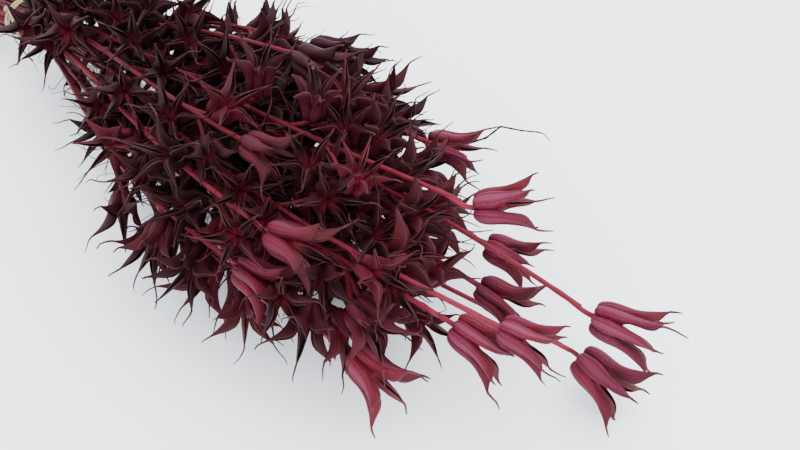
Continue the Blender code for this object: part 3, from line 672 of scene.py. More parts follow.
# %% The mesh helper
class Pile:
    """Closed tubes, gathered for one mesh, with named numbers on their points and a finish for each tube."""

    def __init__(self):
        self.points, self.faces, self.finishes, self.marks = [], [], [], {}
        self.size = 0

    def add(self, grids, finish, **marks):
        """Grids are points (tube, row, column). Row r + 1 follows row r along the tube, and columns go round
        it the way that a right-hand screw turns. Each mark is one number, or an array like the points."""
        tubes, rows, columns = grids.shape[:3]
        poles = grids[:, (0, -1)].mean(axis=2)
        self.points.append(np.concatenate([grids.reshape(tubes, -1, 3), poles], axis=1).reshape(-1, 3))
        place = np.arange(rows * columns).reshape(rows, columns)
        after = np.roll(place, -1, axis=1)
        sides = np.stack([place[:-1], after[:-1], after[1:], place[1:]], axis=-1).reshape(-1, 4)
        first, last = np.full(columns, rows * columns), np.full(columns, rows * columns + 1)
        caps = [np.stack([first, after[0], place[0]], axis=1), np.stack([last, place[-1], after[-1]], axis=1)]
        each = rows * columns + 2
        starts = self.size + each * np.arange(tubes)[:, None, None]
        self.faces.append((starts + sides).reshape(-1, 4))
        self.faces.append((starts + np.concatenate(caps)).reshape(-1, 3))
        self.finishes += [np.full(len(faces), finish) for faces in self.faces[-2:]]
        for name in MARKS:
            mark = np.broadcast_to(marks.get(name, 0.0), (tubes, rows, columns))
            ends = mark[:, (0, -1)].mean(axis=2)
            filled = np.concatenate([mark.reshape(tubes, -1), ends], axis=1).reshape(-1)
            self.marks.setdefault(name, []).append(filled)
        self.size += each * tubes

    def make(self, name, finishes):
        """One mesh object at the origin, in the part's frame and in metres, kept inside the solids' box."""
        points = np.concatenate(self.points) * MM - np.array([*BUNCH_MIDDLE, 0.0]) * MM
        points = np.clip(points, np.array(cad_low) + SKIN, np.array(cad_high) - SKIN)
        counts = np.concatenate([np.full(len(faces), faces.shape[1]) for faces in self.faces])
        mesh = bpy.data.meshes.new(name)
        mesh.vertices.add(len(points))
        mesh.vertices.foreach_set("co", points.ravel())
        mesh.loops.add(int(counts.sum()))
        mesh.loops.foreach_set("vertex_index", np.concatenate([faces.ravel() for faces in self.faces]))
        mesh.polygons.add(len(counts))
        mesh.polygons.foreach_set("loop_start", np.cumsum(counts) - counts)
        mesh.polygons.foreach_set("material_index", np.concatenate(self.finishes))
        mesh.update(calc_edges=True)
        mesh.shade_smooth()
        for mark, values in self.marks.items():
            attribute = mesh.attributes.new(mark, "FLOAT", "POINT")
            attribute.data.foreach_set("value", np.concatenate(values))
        for finish in finishes:
            mesh.materials.append(finish)
        made = bpy.data.objects.new(name, mesh)
        bpy.context.scene.collection.objects.link(made)
        print(f"{name}: {int((counts - 2).sum())} triangles")
        return made


# What each point of the mesh carries: tone is how bright its dye is, along and across are its place on its
# own piece, and rim and inside mark a follicle's thin edges and its hollow.
MARKS = ("tone", "along", "across", "rim", "inside")
SKIN = 0.00002


def smoothstep(x, low, high):
    """0 below low, 1 above high, and a cubic with flat ends in between."""
    t = np.clip((x - low) / (high - low), 0.0, 1.0)
    return t * t * (3.0 - 2.0 * t)


# %% [markdown]
# A thin round piece is a circle carried along a path. The circle needs a direction to start from that no
# part of the path runs along, or it would collapse there. The direction that the path's own tangents
# share least is one, and it is the last eigenvector of the sum of their products.

# %% A tube along a path
def tubes(paths, radii, sides, ribs=0.0):
    """Grids round many paths at once: point = path + radius (cos a side + sin a other), where side and other
    stand square to the path. Every second column stands out by the share ribs of the radius."""
    along = np.gradient(paths, axis=-2)
    along = along / np.maximum(np.linalg.norm(along, axis=-1, keepdims=True), 1e-9)
    spread = np.einsum("...ni,...nj->...ij", along, along)
    square = np.linalg.eigh(spread)[1][..., 0]
    side = square[..., None, :] - along * np.sum(square[..., None, :] * along, axis=-1, keepdims=True)
    side = side / np.maximum(np.linalg.norm(side, axis=-1, keepdims=True), 1e-9)
    other = np.cross(along, side)
    turn = FULL_TURN * np.arange(sides) / sides
    reach = np.asarray(radii)[..., None] * (1.0 + ribs * (np.arange(sides) % 2 - 0.5))
    spokes = np.cos(turn)[:, None] * side[..., None, :] + np.sin(turn)[:, None] * other[..., None, :]
    return paths[..., None, :] + reach[..., None] * spokes


# %% [markdown]
# ## The follicle
# A follicle is the boat that makes up a fifth to a seventh of a pod. Its keel faces outwards, its two
# thin walls gape on the inner side, and its upper inner corner is round before it narrows to the beak.
# It could be sculpted once and copied, but then all twelve hundred would be alike. A formula with a few
# random numbers gives each its own width, twist and gape.

# %% The follicle's outline
# Rows from the foot to the beak: the keel's radius and height, the belly's radius and height, and half the
# width.
OUTLINE = [
    (1.4, 0.6, 0.5, 0.9, 0.5),
    (4.4, -0.9, 0.5, 1.6, 2.0),
    (7.3, 0.1, 0.5, 3.2, 3.5),
    (9.0, 3.6, 0.6, 5.6, 4.3),
    (9.7, 8.0, 0.9, 9.2, 4.5),
    (9.9, 12.4, 2.0, 12.4, 4.1),
    (10.5, 16.4, 4.6, 15.6, 3.3),
    (11.8, 20.2, 5.4, 20.0, 2.7),
    (13.4, 23.2, 6.6, 24.6, 2.2),
    (15.0, 25.9, 9.6, 27.7, 1.5),
    (16.8, 28.1, 14.2, 29.2, 0.85),
    (18.4, 30.0, 17.7, 30.7, 0.40),
]
LAST_ROW = len(OUTLINE) - 1
# Between which rows the follicles come free of each other, and where the hollow begins and ends.
FREE_ROWS, HOLLOW_BEGINS, HOLLOW_ENDS = (5.4, 7.0), (5.6, 7.2), (9.6, 10.6)
WALL, MOST_WALL, KEEL_STANDS_OUT, KEEL_SHARE = 0.38, 0.3, 0.05, 0.05
# How much follicles differ in width, twist and sideways bend, and how their edges wave.
SWELL, TWIST, SIDE_BEND, WAVE, WAVE_A_ROW = 0.05, 0.22, 0.8, 0.05, 1.7
# Where the columns of a follicle's section lie: 0 is the keel, and -1 and 1 are the two rims at the belly.
FINE_SECTION = np.array([-1, -0.9, -0.76, -0.62, -0.49, -0.37, -0.26, -0.16, -0.08, -0.03, 0.0])
COARSE_SECTION = np.array([-1, -0.78, -0.48, -0.2, -0.05, 0.0])
PLAIN_SECTION = np.array([-1, -0.7, -0.3, -0.06, 0.0])


def section_columns(half):
    """Columns round a follicle: out along one wall, over the keel to the other rim, and back inside."""
    outer = np.concatenate([half, -half[-2::-1]])
    inner = 0.86 * half[2:-1:2]
    inner = np.concatenate([-inner, [0.0], inner[::-1]])
    return np.concatenate([outer, inner]), np.concatenate([np.zeros(len(outer)), np.ones(len(inner))])


def follicle_grids(pod, rows, half, looks, gape):
    """All follicles of a pod. At row t, the keel and the belly are points of the outline. Between them, with
    the column's place s, depth = (1 + cos(pi s)) / 2 and offset = width sin(pi |s| ** 0.75) ** 0.9, plus the
    gape at the rims. Inner columns follow the outer ones a wall's thickness inside, or lie flat where there
    is no hollow."""
    t = np.linspace(0.0, 1.0, rows) ** 0.9 * LAST_ROW
    keel_r, keel_h, belly_r, belly_h, width = through(OUTLINE, t).T[..., None]
    t = t[:, None]
    s, is_inner = section_columns(half)
    count = pod.count
    shape = (count, 1, 1)
    lobe = math.tan(math.pi / count) / math.tan(math.pi / 5)
    width = width * (lobe + (math.sqrt(lobe) - lobe) * smoothstep(t, 5.0, 8.0))
    phase, swell = looks.uniform(0.0, FULL_TURN, shape), looks.normal(0.0, SWELL, shape)
    width = width * (1.0 + swell + WAVE * np.sin(WAVE_A_ROW * t + phase))
    free = smoothstep(t, *FREE_ROWS)
    gap = free * looks.uniform(*gape, shape) * width

    depth = 0.5 + 0.5 * np.cos(math.pi * s)
    offset = np.sign(s) * (width * np.sin(math.pi * np.abs(s) ** 0.75) ** 0.9 + gap * np.abs(s) ** 3)
    keel = KEEL_STANDS_OUT * np.exp(-((s / KEEL_SHARE) ** 2)) * (1.0 - is_inner)
    thick = np.hypot(keel_r - belly_r, keel_h - belly_h)
    wall = np.minimum(WALL / thick, MOST_WALL)
    hollow = smoothstep(t, *HOLLOW_BEGINS) * (1.0 - smoothstep(t, *HOLLOW_ENDS))
    inner_depth = hollow * (wall + (1.0 - 2.0 * wall) * depth)
    inner_offset = np.sign(s) * np.maximum(np.abs(offset) - WALL, 0.12 * np.abs(offset))
    inner_offset = hollow * inner_offset + (1.0 - hollow) * 0.5 * gap * s
    depth = np.where(is_inner > 0, inner_depth, depth + keel)
    offset = np.where(is_inner > 0, inner_offset, offset)

    twist = looks.normal(0.0, TWIST, shape) * np.clip((t - 5.0) / 6.0, 0.0, 1.0) ** 2
    lever = (depth - 0.5) * thick
    turned = np.cos(twist) * lever + np.sin(twist) * offset
    across = np.cos(twist) * offset - np.sin(twist) * lever
    depth = 0.5 + turned / thick
    radius = belly_r + depth * (keel_r - belly_r)
    height = belly_h + depth * (keel_h - belly_h)
    bend = looks.normal(0.0, SIDE_BEND, shape)
    across = across + bend * np.clip((height - 12.0) / 18.0, 0.0, 2.0) ** 2
    angle = pod.angles.reshape(shape)
    flare = 1.0 + (pod.flare.reshape(shape) - 1.0) * smoothstep(height, 10.0, 17.0)
    split = BACK_AT_SPLIT[0]
    radius = split * (np.maximum(radius, 0.0) / split) ** flare
    points = pod.place(*np.broadcast_arrays(angle, radius, height, across))
    marks = {
        "along": np.broadcast_to(t / LAST_ROW, points.shape[:3]),
        "across": np.broadcast_to(s, points.shape[:3]),
        "rim": np.broadcast_to(smoothstep(np.abs(s), 0.80, 0.97) * free * (1.0 - is_inner), points.shape[:3]),
        "inside": np.broadcast_to(is_inner * hollow, points.shape[:3]),
    }
    return points, bend.reshape(count), marks


# %% [markdown]
# ## Styles
# Each beak runs out into a style, a stiff dry horn that is often kinked or broken short. It leaves the
# beak smoothly and heads for the place that the layout kept free for it. A kink is a sideways shift that
# grows in a straight line up to one place and falls again in a straight line beyond it.

# %% Styles from the beaks
# The radius and height of the beak's end and of a place just behind it, where a style breaks or kinks as a
# share of its length, how much its end strays, and how far it stays above the table.
BEAK_END, BEHIND_BEAK = (17.6, 29.9), (15.6, 27.3)
BROKEN_LENGTHS, KINK_PLACES, STRAY = (0.18, 0.5), (0.35, 0.8), 0.25
STYLE_ABOVE_TABLE = 0.25


def unit_rows(vectors):
    return vectors / np.maximum(np.linalg.norm(vectors, axis=-1, keepdims=True), 1e-9)


def style_paths(pod, bend, looks, count, curl, broken_share):
    """Cubic curves from each beak to its free end, with one kink each. Some end early, where they broke."""
    shape = (pod.count, 1, 1)
    is_broken = looks.uniform(size=shape) < broken_share
    broken = np.where(is_broken, looks.uniform(*BROKEN_LENGTHS, shape), 1.0)
    share = np.linspace(0.0, 1.0, count)[None, :, None] * broken
    flare = pod.flare
    tip = pod.place(pod.angles, *BEAK_END, bend, flare)
    before = pod.place(pod.angles, *BEHIND_BEAK, 0.8 * bend, flare)
    end = np.array([pod.style_end(k) for k in range(pod.count)])
    length = np.linalg.norm(end - tip, axis=1)[:, None]
    way = unit_rows(tip - before)
    stray = STRAY * length * looks.normal(0.0, 1.0, (pod.count, 3))
    start, finish = length * way, 0.9 * (end - tip) + stray
    start, finish, tip, end = (value[:, None, :] for value in (start, finish, tip, end))
    path = cubic(share, tip, start, end, finish)
    sideways = unit_rows(np.cross(way, looks.normal(0.0, 1.0, way.shape)))[:, None, :]
    size = curl * length[:, None, :] * looks.uniform(-1.0, 1.0, shape)
    kink = looks.uniform(*KINK_PLACES, shape)
    path = path + size * np.minimum(share / kink, (1.0 - share) / (1.0 - kink)) * sideways
    path[..., 2] = np.maximum(path[..., 2], STYLE_ABOVE_TABLE)
    return path


# %% [markdown]
# ## Dry threads
# Nigella has leaves as fine as threads. On the dried bunch they are left as dark curls at the nodes of
# the stems and under the pods. A thread is a walk whose heading turns steadily about one random axis, so
# it is an arc, a hook or a loose spiral.

# %% Threads
# How far a thread turns in all, in radians, how late it does so, and how far it stays above the table.
THREAD_TURN, TURNS_LATE, THREAD_ABOVE_TABLE = 2.2, 1.4, 0.3


def thread_paths(roots, ways, looks, lengths, count):
    """Paths from the roots: the heading is its first way turned by angle a about a unit axis w, which is
    cos a way + sin a (w x way) + (1 - cos a)(w . way) w, and the path is the sum of the headings' steps."""
    many = len(roots)
    axis = unit_rows(looks.normal(0.0, 1.0, (many, 1, 3)))
    total = looks.normal(0.0, THREAD_TURN, (many, 1, 1))
    angle = total * np.linspace(0.0, 1.0, count)[None, :, None] ** TURNS_LATE
    way = unit_rows(ways)[:, None, :]
    along_axis = np.sum(axis * way, axis=-1, keepdims=True)
    heading = np.cos(angle) * way + np.sin(angle) * np.cross(axis, way)
    heading = heading + (1.0 - np.cos(angle)) * along_axis * axis
    steps = heading * (looks.uniform(*lengths, (many, 1, 1)) / (count - 1))
    path = roots[:, None, :] + np.cumsum(steps, axis=1) - steps[:, :1]
    path[..., 2] = np.maximum(path[..., 2], THREAD_ABOVE_TABLE)
    return path


# %% [markdown]
# ## Finishes
# The dye colours everything, but unevenly: front pods are raspberry, crowded pods are nearly black, walls
# are browner towards the beak, rims are pale, and fine nerves run from foot to tip. Light and shade are
# painted on top: each lobe is lighter along its keel, which faces the light, with a painted sheen there,
# darker on its flanks as painted shade, and nearly black in its painted-shade hollow.
# A photograph could be painted on, but numbers on the mesh do better: each point knows its place on its
# follicle, so nerves follow the shape. A small class lets such a pattern be written as plain arithmetic.

# %% Arithmetic on shader sockets
class Term:
    """A socket of a material. Arithmetic on it adds Math nodes."""

    def __init__(self, finish, socket):
        self.finish, self.socket = finish, socket

    def __add__(self, other):
        return self.finish.maths("ADD", self, other)

    def __sub__(self, other):
        return self.finish.maths("SUBTRACT", self, other)

    def __rsub__(self, other):
        return self.finish.maths("SUBTRACT", other, self)

    def __mul__(self, other):
        return self.finish.maths("MULTIPLY", self, other)

    def __pow__(self, other):
        return self.finish.maths("POWER", self, other)


class Finish:
    """One material with its Principled shader. Dry, dull tissue has a low gloss."""

    def __init__(self, name, gloss=0.5):
        self.material = bpy.data.materials.new(name)
        self.material.use_nodes = True
        self.tree = self.material.node_tree
        self.surface = self.tree.nodes["Principled BSDF"]
        self.surface.inputs["Specular IOR Level"].default_value = gloss

    def node(self, kind, settings, sockets, output=0):
        """Any node: its settings are set first, then its sockets take values or links."""
        made = self.tree.nodes.new("ShaderNode" + kind)
        for name, value in settings.items():
            if name == "stops":
                self.set_stops(made.color_ramp, value)
            else:
                setattr(made, name, value)
        for key, value in sockets.items():
            self.feed(made.inputs[key], value)
        return Term(self, made.outputs[output])

    def set_stops(self, ramp, stops):
        """A ramp starts with two stops, and the rest are added between them."""
        for _ in stops[2:]:
            ramp.elements.new(0.5)
        for element, (position, colour) in zip(ramp.elements, stops):
            element.position = position
            element.color = (*colour, 1.0)

    def feed(self, socket, value):
        if isinstance(value, Term):
            self.tree.links.new(value.socket, socket)
        else:
            socket.default_value = value

    def maths(self, operation, *values):
        return self.node("Math", {"operation": operation}, dict(enumerate(values)))

    def mark(self, name):
        """A number that the mesh carries at each point."""
        return self.node("Attribute", {"attribute_name": name}, {}, "Fac")

    def mix(self, factor, first, second):
        """Colour first where the factor is 0, second where it is 1. Its colour sockets are 6 and 7."""
        settings = {"data_type": "RGBA", "clamp_factor": True}
        return self.node("Mix", settings, {0: factor, 6: first, 7: second}, 2)

    def between(self, value, low, high):
        """0 where the value is low and 1 where it is high, smooth and clamped."""
        settings = {"interpolation_type": "SMOOTHSTEP", "clamp": True}
        return self.node("MapRange", settings, {0: value, 1: low, 2: high, 3: 0.0, 4: 1.0})

    def noise(self, place, scale, detail=2.0):
        """Soft cloudy values round 0.5."""
        return self.node("TexNoise", {}, {"Vector": place, "Scale": scale, "Detail": detail})

    def where(self):
        """The place on the object, in metres."""
        return self.node("TexCoord", {}, {}, "Object")

    def bump(self, height, strength, distance):
        sockets = {"Strength": strength, "Distance": distance, "Height": height}
        self.feed(self.surface.inputs["Normal"], self.node("Bump", {}, sockets))

    def wear(self, colour, roughness):
        self.feed(self.surface.inputs["Base Color"], colour)
        self.feed(self.surface.inputs["Roughness"], roughness)
        return self.material


# %% [markdown]
# ### The pods' dye
# The pod's colour is a ramp over its tone, which differs from pod to pod. Nerves are waves of the place
# across the wall, and speckles sit beside the keel. Light and shade are painted on the dye: the tone is
# raised along the keel and lowered on the flanks, the keel has a pale painted sheen, and the brown hollow
# is painted nearly black as its shade.

# %% Pod finish
BLACK_PURPLE, DARK_WINE = (0.0110, 0.0028, 0.0040), (0.026, 0.0038, 0.0062)
WINE, RASPBERRY = (0.056, 0.0045, 0.0108), (0.100, 0.0078, 0.0252)
BRIGHT_RED = (0.112, 0.0074, 0.0140, 1.0)
# The first of these colours is a painted highlight: the pale sheen painted along the keel.
PAINTED_KEEL_SHEEN, SPECKLE, RIM = (0.175, 0.046, 0.084, 1.0), (0.26, 0.060, 0.110, 1.0), (0.130, 0.030, 0.036, 1.0)
# The second of these colours is the hollow's brown, darkened to nearly black as painted shade.
HUSK, HOLLOW_BROWN_AND_SHADE = (0.044, 0.009, 0.010, 1.0), (0.009, 0.0030, 0.0034, 1.0)
HEART, BLACK = (0.120, 0.006, 0.015, 1.0), (0.0, 0.0, 0.0, 1.0)
# The second of these colours is the painted keel sheen of dark pods, a painted highlight.
DARK_HUSK, DARK_PAINTED_KEEL_SHEEN = (0.011, 0.0030, 0.0034, 1.0), (0.0105, 0.0042, 0.0058, 1.0)
NERVES, DULL = 44.0, 0.12


def pod_finish():
    dye = Finish("dyed_pod", gloss=DULL)
    tone, along, across = dye.mark("tone"), dye.mark("along"), dye.mark("across")
    side = dye.maths("ABSOLUTE", across)
    place = dye.where()
    cloud = dye.noise(place, 160.0, 3.0)
    grain = dye.noise(place, 1400.0, 2.0)
    stops = [(0.0, BLACK_PURPLE), (0.35, DARK_WINE), (0.68, WINE), (1.0, RASPBERRY)]
    # Painted light and shade: the tone is raised by the keel and lowered towards the flanks.
    painted_flank_shade = dye.between(side, 0.12, 0.85)
    strength = tone + (cloud - 0.5) * 0.35 + (0.3 - painted_flank_shade) * 0.30
    colour = dye.node("ValToRGB", {"stops": stops}, {0: strength})
    redness = dye.between(dye.noise(place, 38.0, 1.0), 0.44, 0.60) * tone * tone
    colour = dye.mix(redness * 0.7, colour, BRIGHT_RED)
    nerve = dye.maths("SINE", side * NERVES + cloud * 5.0)
    darker = dye.mix(0.62, colour, BLACK)
    colour = dye.mix(dye.between(nerve, 0.2, 1.0) * 0.5, colour, darker)
    beside_keel = dye.between(side, 0.07, 0.15) * (1.0 - dye.between(side, 0.20, 0.34))
    flecks = dye.node("TexVoronoi", {}, {"Vector": place, "Scale": 1300.0})
    fleck = (1.0 - dye.between(flecks, 0.12, 0.34)) * beside_keel * tone
    colour = dye.mix(fleck * 0.55, colour, SPECKLE)
    husky = dye.between(along, 0.55, 0.98) * 0.55 * dye.between(cloud, 0.3, 0.6)
    colour = dye.mix(husky, colour, dye.mix(tone, DARK_HUSK, HUSK))
    # Painted highlight: a pale sheen painted along the keel, strongest on the brightest pods.
    keel = 1.0 - dye.between(side, 0.02, 0.075)
    colour = dye.mix(keel * 0.45, colour, dye.mix(tone**3, DARK_PAINTED_KEEL_SHEEN, PAINTED_KEEL_SHEEN))
    colour = dye.mix(dye.mark("rim") * (tone * 0.4 + 0.35), colour, RIM)
    # Painted shade: the hollow's brown inner walls are painted nearly black.
    colour = dye.mix(dye.mark("inside"), colour, HOLLOW_BROWN_AND_SHADE)
    heart = dye.between(side, 0.45, 0.8) * (1.0 - dye.between(along, 0.50, 0.62))
    colour = dye.mix(heart * (tone * 0.8 + 0.12), colour, HEART)
    wrinkle = dye.noise(place, 520.0, 3.0)
    dye.bump(nerve * 0.35 + wrinkle + grain * 0.3, 0.45, 0.0004)
    return dye.wear(colour, cloud * 0.3 + 0.45)


# %% [markdown]
# ### The stems' dye
# The stems took the dye best. They are ribbed, with darker lines in the hollows, and they fade towards
# pink where they stand out in the open.

# %% Stem finish
STEM_DARK, STEM_RED, STEM_PINK = (0.026, 0.0025, 0.0048), (0.110, 0.0062, 0.014), (0.240, 0.020, 0.044)
STEM_HOLLOW = (0.005, 0.0015, 0.0025, 1.0)


def stem_finish():
    dye = Finish("dyed_stem", gloss=DULL)
    tone, across = dye.mark("tone"), dye.mark("across")
    place = dye.where()
    stretched = dye.node("Mapping", {}, {"Vector": place, "Scale": (0.18, 1.0, 1.0)})
    streaks = dye.noise(stretched, 900.0, 3.0)
    blotch = dye.noise(place, 90.0, 3.0)
    stops = [(0.0, STEM_DARK), (0.5, STEM_RED), (1.0, STEM_PINK)]
    strength = tone + (blotch - 0.5) * 0.4 + (streaks - 0.5) * 0.5
    colour = dye.node("ValToRGB", {"stops": stops}, {0: strength})
    darker = dye.mix(0.55, colour, STEM_HOLLOW)
    colour = dye.mix((1.0 - across) * 0.6, colour, darker)
    dye.bump(streaks + across, 0.4, 0.0003)
    return dye.wear(colour, blotch * 0.25 + 0.42)


# %% [markdown]
# ### Threads and styles
# Styles and threads are bare dry tissue, from black-brown to a dull red near the beak.

# %% Thread finish
THREAD_DARK, THREAD_PALE = (0.0060, 0.0024, 0.0030, 1.0), (0.085, 0.020, 0.026, 1.0)


def thread_finish():
    dye = Finish("dry_thread", gloss=DULL)
    blotch = dye.noise(dye.where(), 300.0, 2.0)
    shade = dye.between(dye.mark("tone") + (blotch - 0.5) * 0.5, 0.0, 1.0)
    colour = dye.mix(shade, THREAD_DARK, THREAD_PALE)
    dye.bump(dye.noise(dye.where(), 2500.0), 0.3, 0.0002)
    return dye.wear(colour, blotch * 0.2 + 0.5)


# %% [markdown]
# ### Raffia
# Raffia is a strip of palm leaf: straw-coloured, with long fibres, some browner than others, and a
# slight gloss.

# %% Raffia finish
STRAW, STRAW_DARK, STRAW_PALE = (0.28, 0.205, 0.088), (0.110, 0.070, 0.026), (0.42, 0.34, 0.19)


def raffia_finish():
    dry = Finish("raffia", gloss=0.3)
    across, along = dry.mark("across"), dry.mark("along")
    line = dry.node("CombineXYZ", {}, {0: across * 9.0, 1: along * 2.5, 2: dry.mark("tone") * 7.0})
    fibre = dry.noise(line, 3.0, 4.0)
    stops = [(0.25, STRAW_DARK), (0.52, STRAW), (0.8, STRAW_PALE)]
    colour = dry.node("ValToRGB", {"stops": stops}, {0: fibre})
    dry.bump(fibre, 0.5, 0.0003)
    return dry.wear(colour, fibre * 0.3 + 0.35)


FINISHES = [pod_finish(), stem_finish(), thread_finish()]
POD, STEM, THREAD = 0, 1, 2
print("finishes:", [finish.name for finish in FINISHES])

# %% [markdown]
# ## Tone
# Where the dye is bright is not pure chance. The pods that stand out at the front are raspberry, the
# inside of the crowd is nearly black, and here and there in it one pod is bright.

# %% How bright each pod's dye is
FRONT_TONE, CROWD_TONE, LUCKY_TONE, LUCKY_SHARE = (0.80, 0.98), (0.02, 0.42), (0.62, 0.88), 0.13
# How much brighter the crowd gets towards the heads, and between which x it does.
BRIGHTER_FORWARD, BRIGHTENS_OVER = 0.30, (150.0, 360.0)


def pod_tone(pod, stands_out, looks):
    """Bright for a pod at the front, and in the crowd brighter further forward."""
    lucky = looks.uniform() < LUCKY_SHARE
    if stands_out:
        return looks.uniform(*FRONT_TONE)
    if lucky:
        return looks.uniform(*LUCKY_TONE)
    forward = BRIGHTER_FORWARD * float(smoothstep(pod.base[0], *BRIGHTENS_OVER))
    return looks.uniform(*CROWD_TONE) + forward


# %% [markdown]
# ## A stem with its stalks and pods
# Everything that grew on one cut stem goes into one mesh, which then stands for that stem's plain solid.
# Joined pieces overlap where they meet, as their roots are sunk into what they grow from.

# %% The stems and stalks
RIBS = 0.10
NODE_SWELL, NODE_LENGTH = 0.22, 2.5
STEM_RING_STEP, STEM_SIDES = 5.5, 12
STALK_RING_STEP, STALK_SIDES, STALK_SLIMMER = 3.0, 8, 0.86
# A stem's tone at the tie, how much brighter it is at the heads, where that happens, and how it differs.
STEM_TONE, STEM_BRIGHTER, STEM_BRIGHTENS_OVER, STEM_TONE_SPREAD = 0.40, 0.34, (200.0, 400.0), 0.12
# A stalk's tone follows its pod's.
STALK_TONE, STALK_TONE_SHARE, STALK_TONE_SPREAD = 0.30, 0.45, 0.1
# A stalk runs this far into its pod, and swells by this share just under it.
INTO_POD, CUSHION = 0.9, 0.35


def add_stem(pile, stem, own_pods, looks):
    """The main stem's tube, which tapers, swells at each node where a stalk leaves and has six ribs."""
    x = np.arange(stem.cut_x, stem.end_x, STEM_RING_STEP)
    path = np.array([stem.point(value) for value in x])
    taper = 1.0 + (STEM_TAPER - 1.0) * (x - x[0]) / (x[-1] - x[0])
    swell = sum(np.exp(-(((x - pod.root[0]) / NODE_LENGTH) ** 2)) for pod in own_pods)
    radii = STEM_RADIUS * taper * (1.0 + NODE_SWELL * np.minimum(swell, 1.0))
    tone = STEM_TONE + STEM_BRIGHTER * smoothstep(x, *STEM_BRIGHTENS_OVER)
    tone = tone + looks.uniform(-STEM_TONE_SPREAD, STEM_TONE_SPREAD)
    rib = np.arange(STEM_SIDES) % 2
    pile.add(tubes(path[None], radii[None], STEM_SIDES, RIBS), STEM, tone=tone[None, :, None], across=rib)


def add_stalks(pile, own_pods, tones, looks):
    """A tube along each pod's stalk, which widens under the pod to a small cushion."""
    for pod, tone in zip(own_pods, tones):
        count = 8 + int(np.linalg.norm(pod.base - pod.root) / STALK_RING_STEP)
        share = np.linspace(0.0, 1.0, count)
        into_pod = INTO_POD * pod.size * pod.axis * smoothstep(share, 0.9, 1.0)[:, None]
        path = pod.stalk(share[:, None]) + into_pod
        widen = 1.0 + (STALK_WIDENS - 1.0) * share + CUSHION * smoothstep(share, 0.93, 1.0)
        radii = STALK_SLIMMER * STALK_RADIUS * widen
        colour = STALK_TONE + STALK_TONE_SHARE * tone + looks.uniform(-STALK_TONE_SPREAD, STALK_TONE_SPREAD)
        grids = tubes(path[None], radii[None], STALK_SIDES, RIBS)
        pile.add(grids, STEM, tone=colour, across=np.arange(STALK_SIDES) % 2)


# %% The pods with their styles
# How finely a pod is made: its rows and section, and its styles' rings, sides, curl, the share of them that
# broke, and how much redder they are near the beak.
FRONT, CROWD_POD, REST = range(3)
DETAIL = [
    (40, FINE_SECTION, 16, 6, 0.12, 0.72, 0.9),
    (16, COARSE_SECTION, 9, 3, 0.22, 0.25, 0.3),
    (13, PLAIN_SECTION, 8, 3, 0.22, 0.25, 0.3),
]
FRONT_GAPE, CROWD_GAPE = (0.10, 0.35), (0.3, 0.85)
STYLE_RADIUS, STYLE_TAPERS_BY, STYLE_TONES, FOLLICLE_TONES = 0.72, 0.42, (0.0, 0.55), 0.05


def add_pod(pile, pod, tone, detail, looks):
    """The follicles and styles of one pod, with more rows and columns where it stands out."""
    rows, half, rings, sides, curl, broken_share, redder = DETAIL[detail]
    gape = FRONT_GAPE if detail == FRONT else CROWD_GAPE
    points, bend, marks = follicle_grids(pod, rows, half, looks, gape)
    tones = tone + looks.normal(0.0, FOLLICLE_TONES, (pod.count, 1, 1))
    pile.add(points, POD, tone=tones, **marks)
    paths = style_paths(pod, bend, looks, rings, curl, broken_share)
    share = np.linspace(0.0, 1.0, rings)
    radii = pod.size * (STYLE_RADIUS - STYLE_TAPERS_BY * share) * np.ones((pod.count, 1))
    shade = looks.uniform(*STYLE_TONES, (pod.count, 1, 1)) + redder * (1.0 - share[None, :, None])
    pile.add(tubes(paths, radii, sides), THREAD, tone=shade)


# %% The threads at the nodes and under the pods
THREADS_A_POD, NO_THREADS_PAST = 6, 325.0
THREAD_LENGTHS, THREAD_RINGS, THREAD_RADII = (9.0, 34.0), 10, (0.36, 0.17)


def add_threads(pile, own_pods, looks):
    """Threads from places on each stalk, setting out away from it. The stems at the front are bare."""
    roots, ways = [], []
    for pod in [pod for pod in own_pods if pod.base[0] < NO_THREADS_PAST]:
        for share in looks.uniform(0.0, 0.97, THREADS_A_POD):
            roots.append(pod.stalk(share))
            ways.append(0.8 * pod.axis + looks.normal(0.0, 0.7, 3))
    if not roots:
        return
    paths = thread_paths(np.array(roots), np.array(ways), looks, THREAD_LENGTHS, THREAD_RINGS)
    radii = np.linspace(*THREAD_RADII, THREAD_RINGS) * np.ones((len(roots), 1))
    pile.add(tubes(paths, radii, 3), THREAD, tone=looks.uniform(0.0, 0.6, (len(roots), 1, 1)))


# %% [markdown]
# One long dry tendril stands out of the crowd beside the front pods. Its kinks are in its list of
# points, which a smooth curve would round off, so it is followed in straight runs.

# %% The tendril
TENDRIL = [
    (298, 36, 56), (314, 48, 60), (322, 59, 62), (326, 66, 67), (337, 69, 68), (343, 75, 66), (349, 81, 62),
]
TENDRIL_STEM, TENDRIL_RINGS, TENDRIL_SIDES, TENDRIL_TONE = 7, 43, 6, 0.25
TENDRIL_RADIUS, TENDRIL_TAPERS_BY, TENDRIL_BUMPS, BUMPS_SHORTEN = 0.62, 0.30, 0.35, 8


def add_tendril(pile):
    """A tapering tube along the tendril's points, with a slight swelling at each of them."""
    points = np.array(TENDRIL, float)
    at = np.linspace(0.0, len(points) - 1.0, TENDRIL_RINGS)
    path = np.stack([np.interp(at, np.arange(len(points)), column) for column in points.T], axis=1)
    bumps = 1.0 + TENDRIL_BUMPS * np.cos(FULL_TURN * at) ** BUMPS_SHORTEN
    radii = (TENDRIL_RADIUS - TENDRIL_TAPERS_BY * at / at[-1]) * bumps
    pile.add(tubes(path[None], radii[None], TENDRIL_SIDES), THREAD, tone=TENDRIL_TONE)


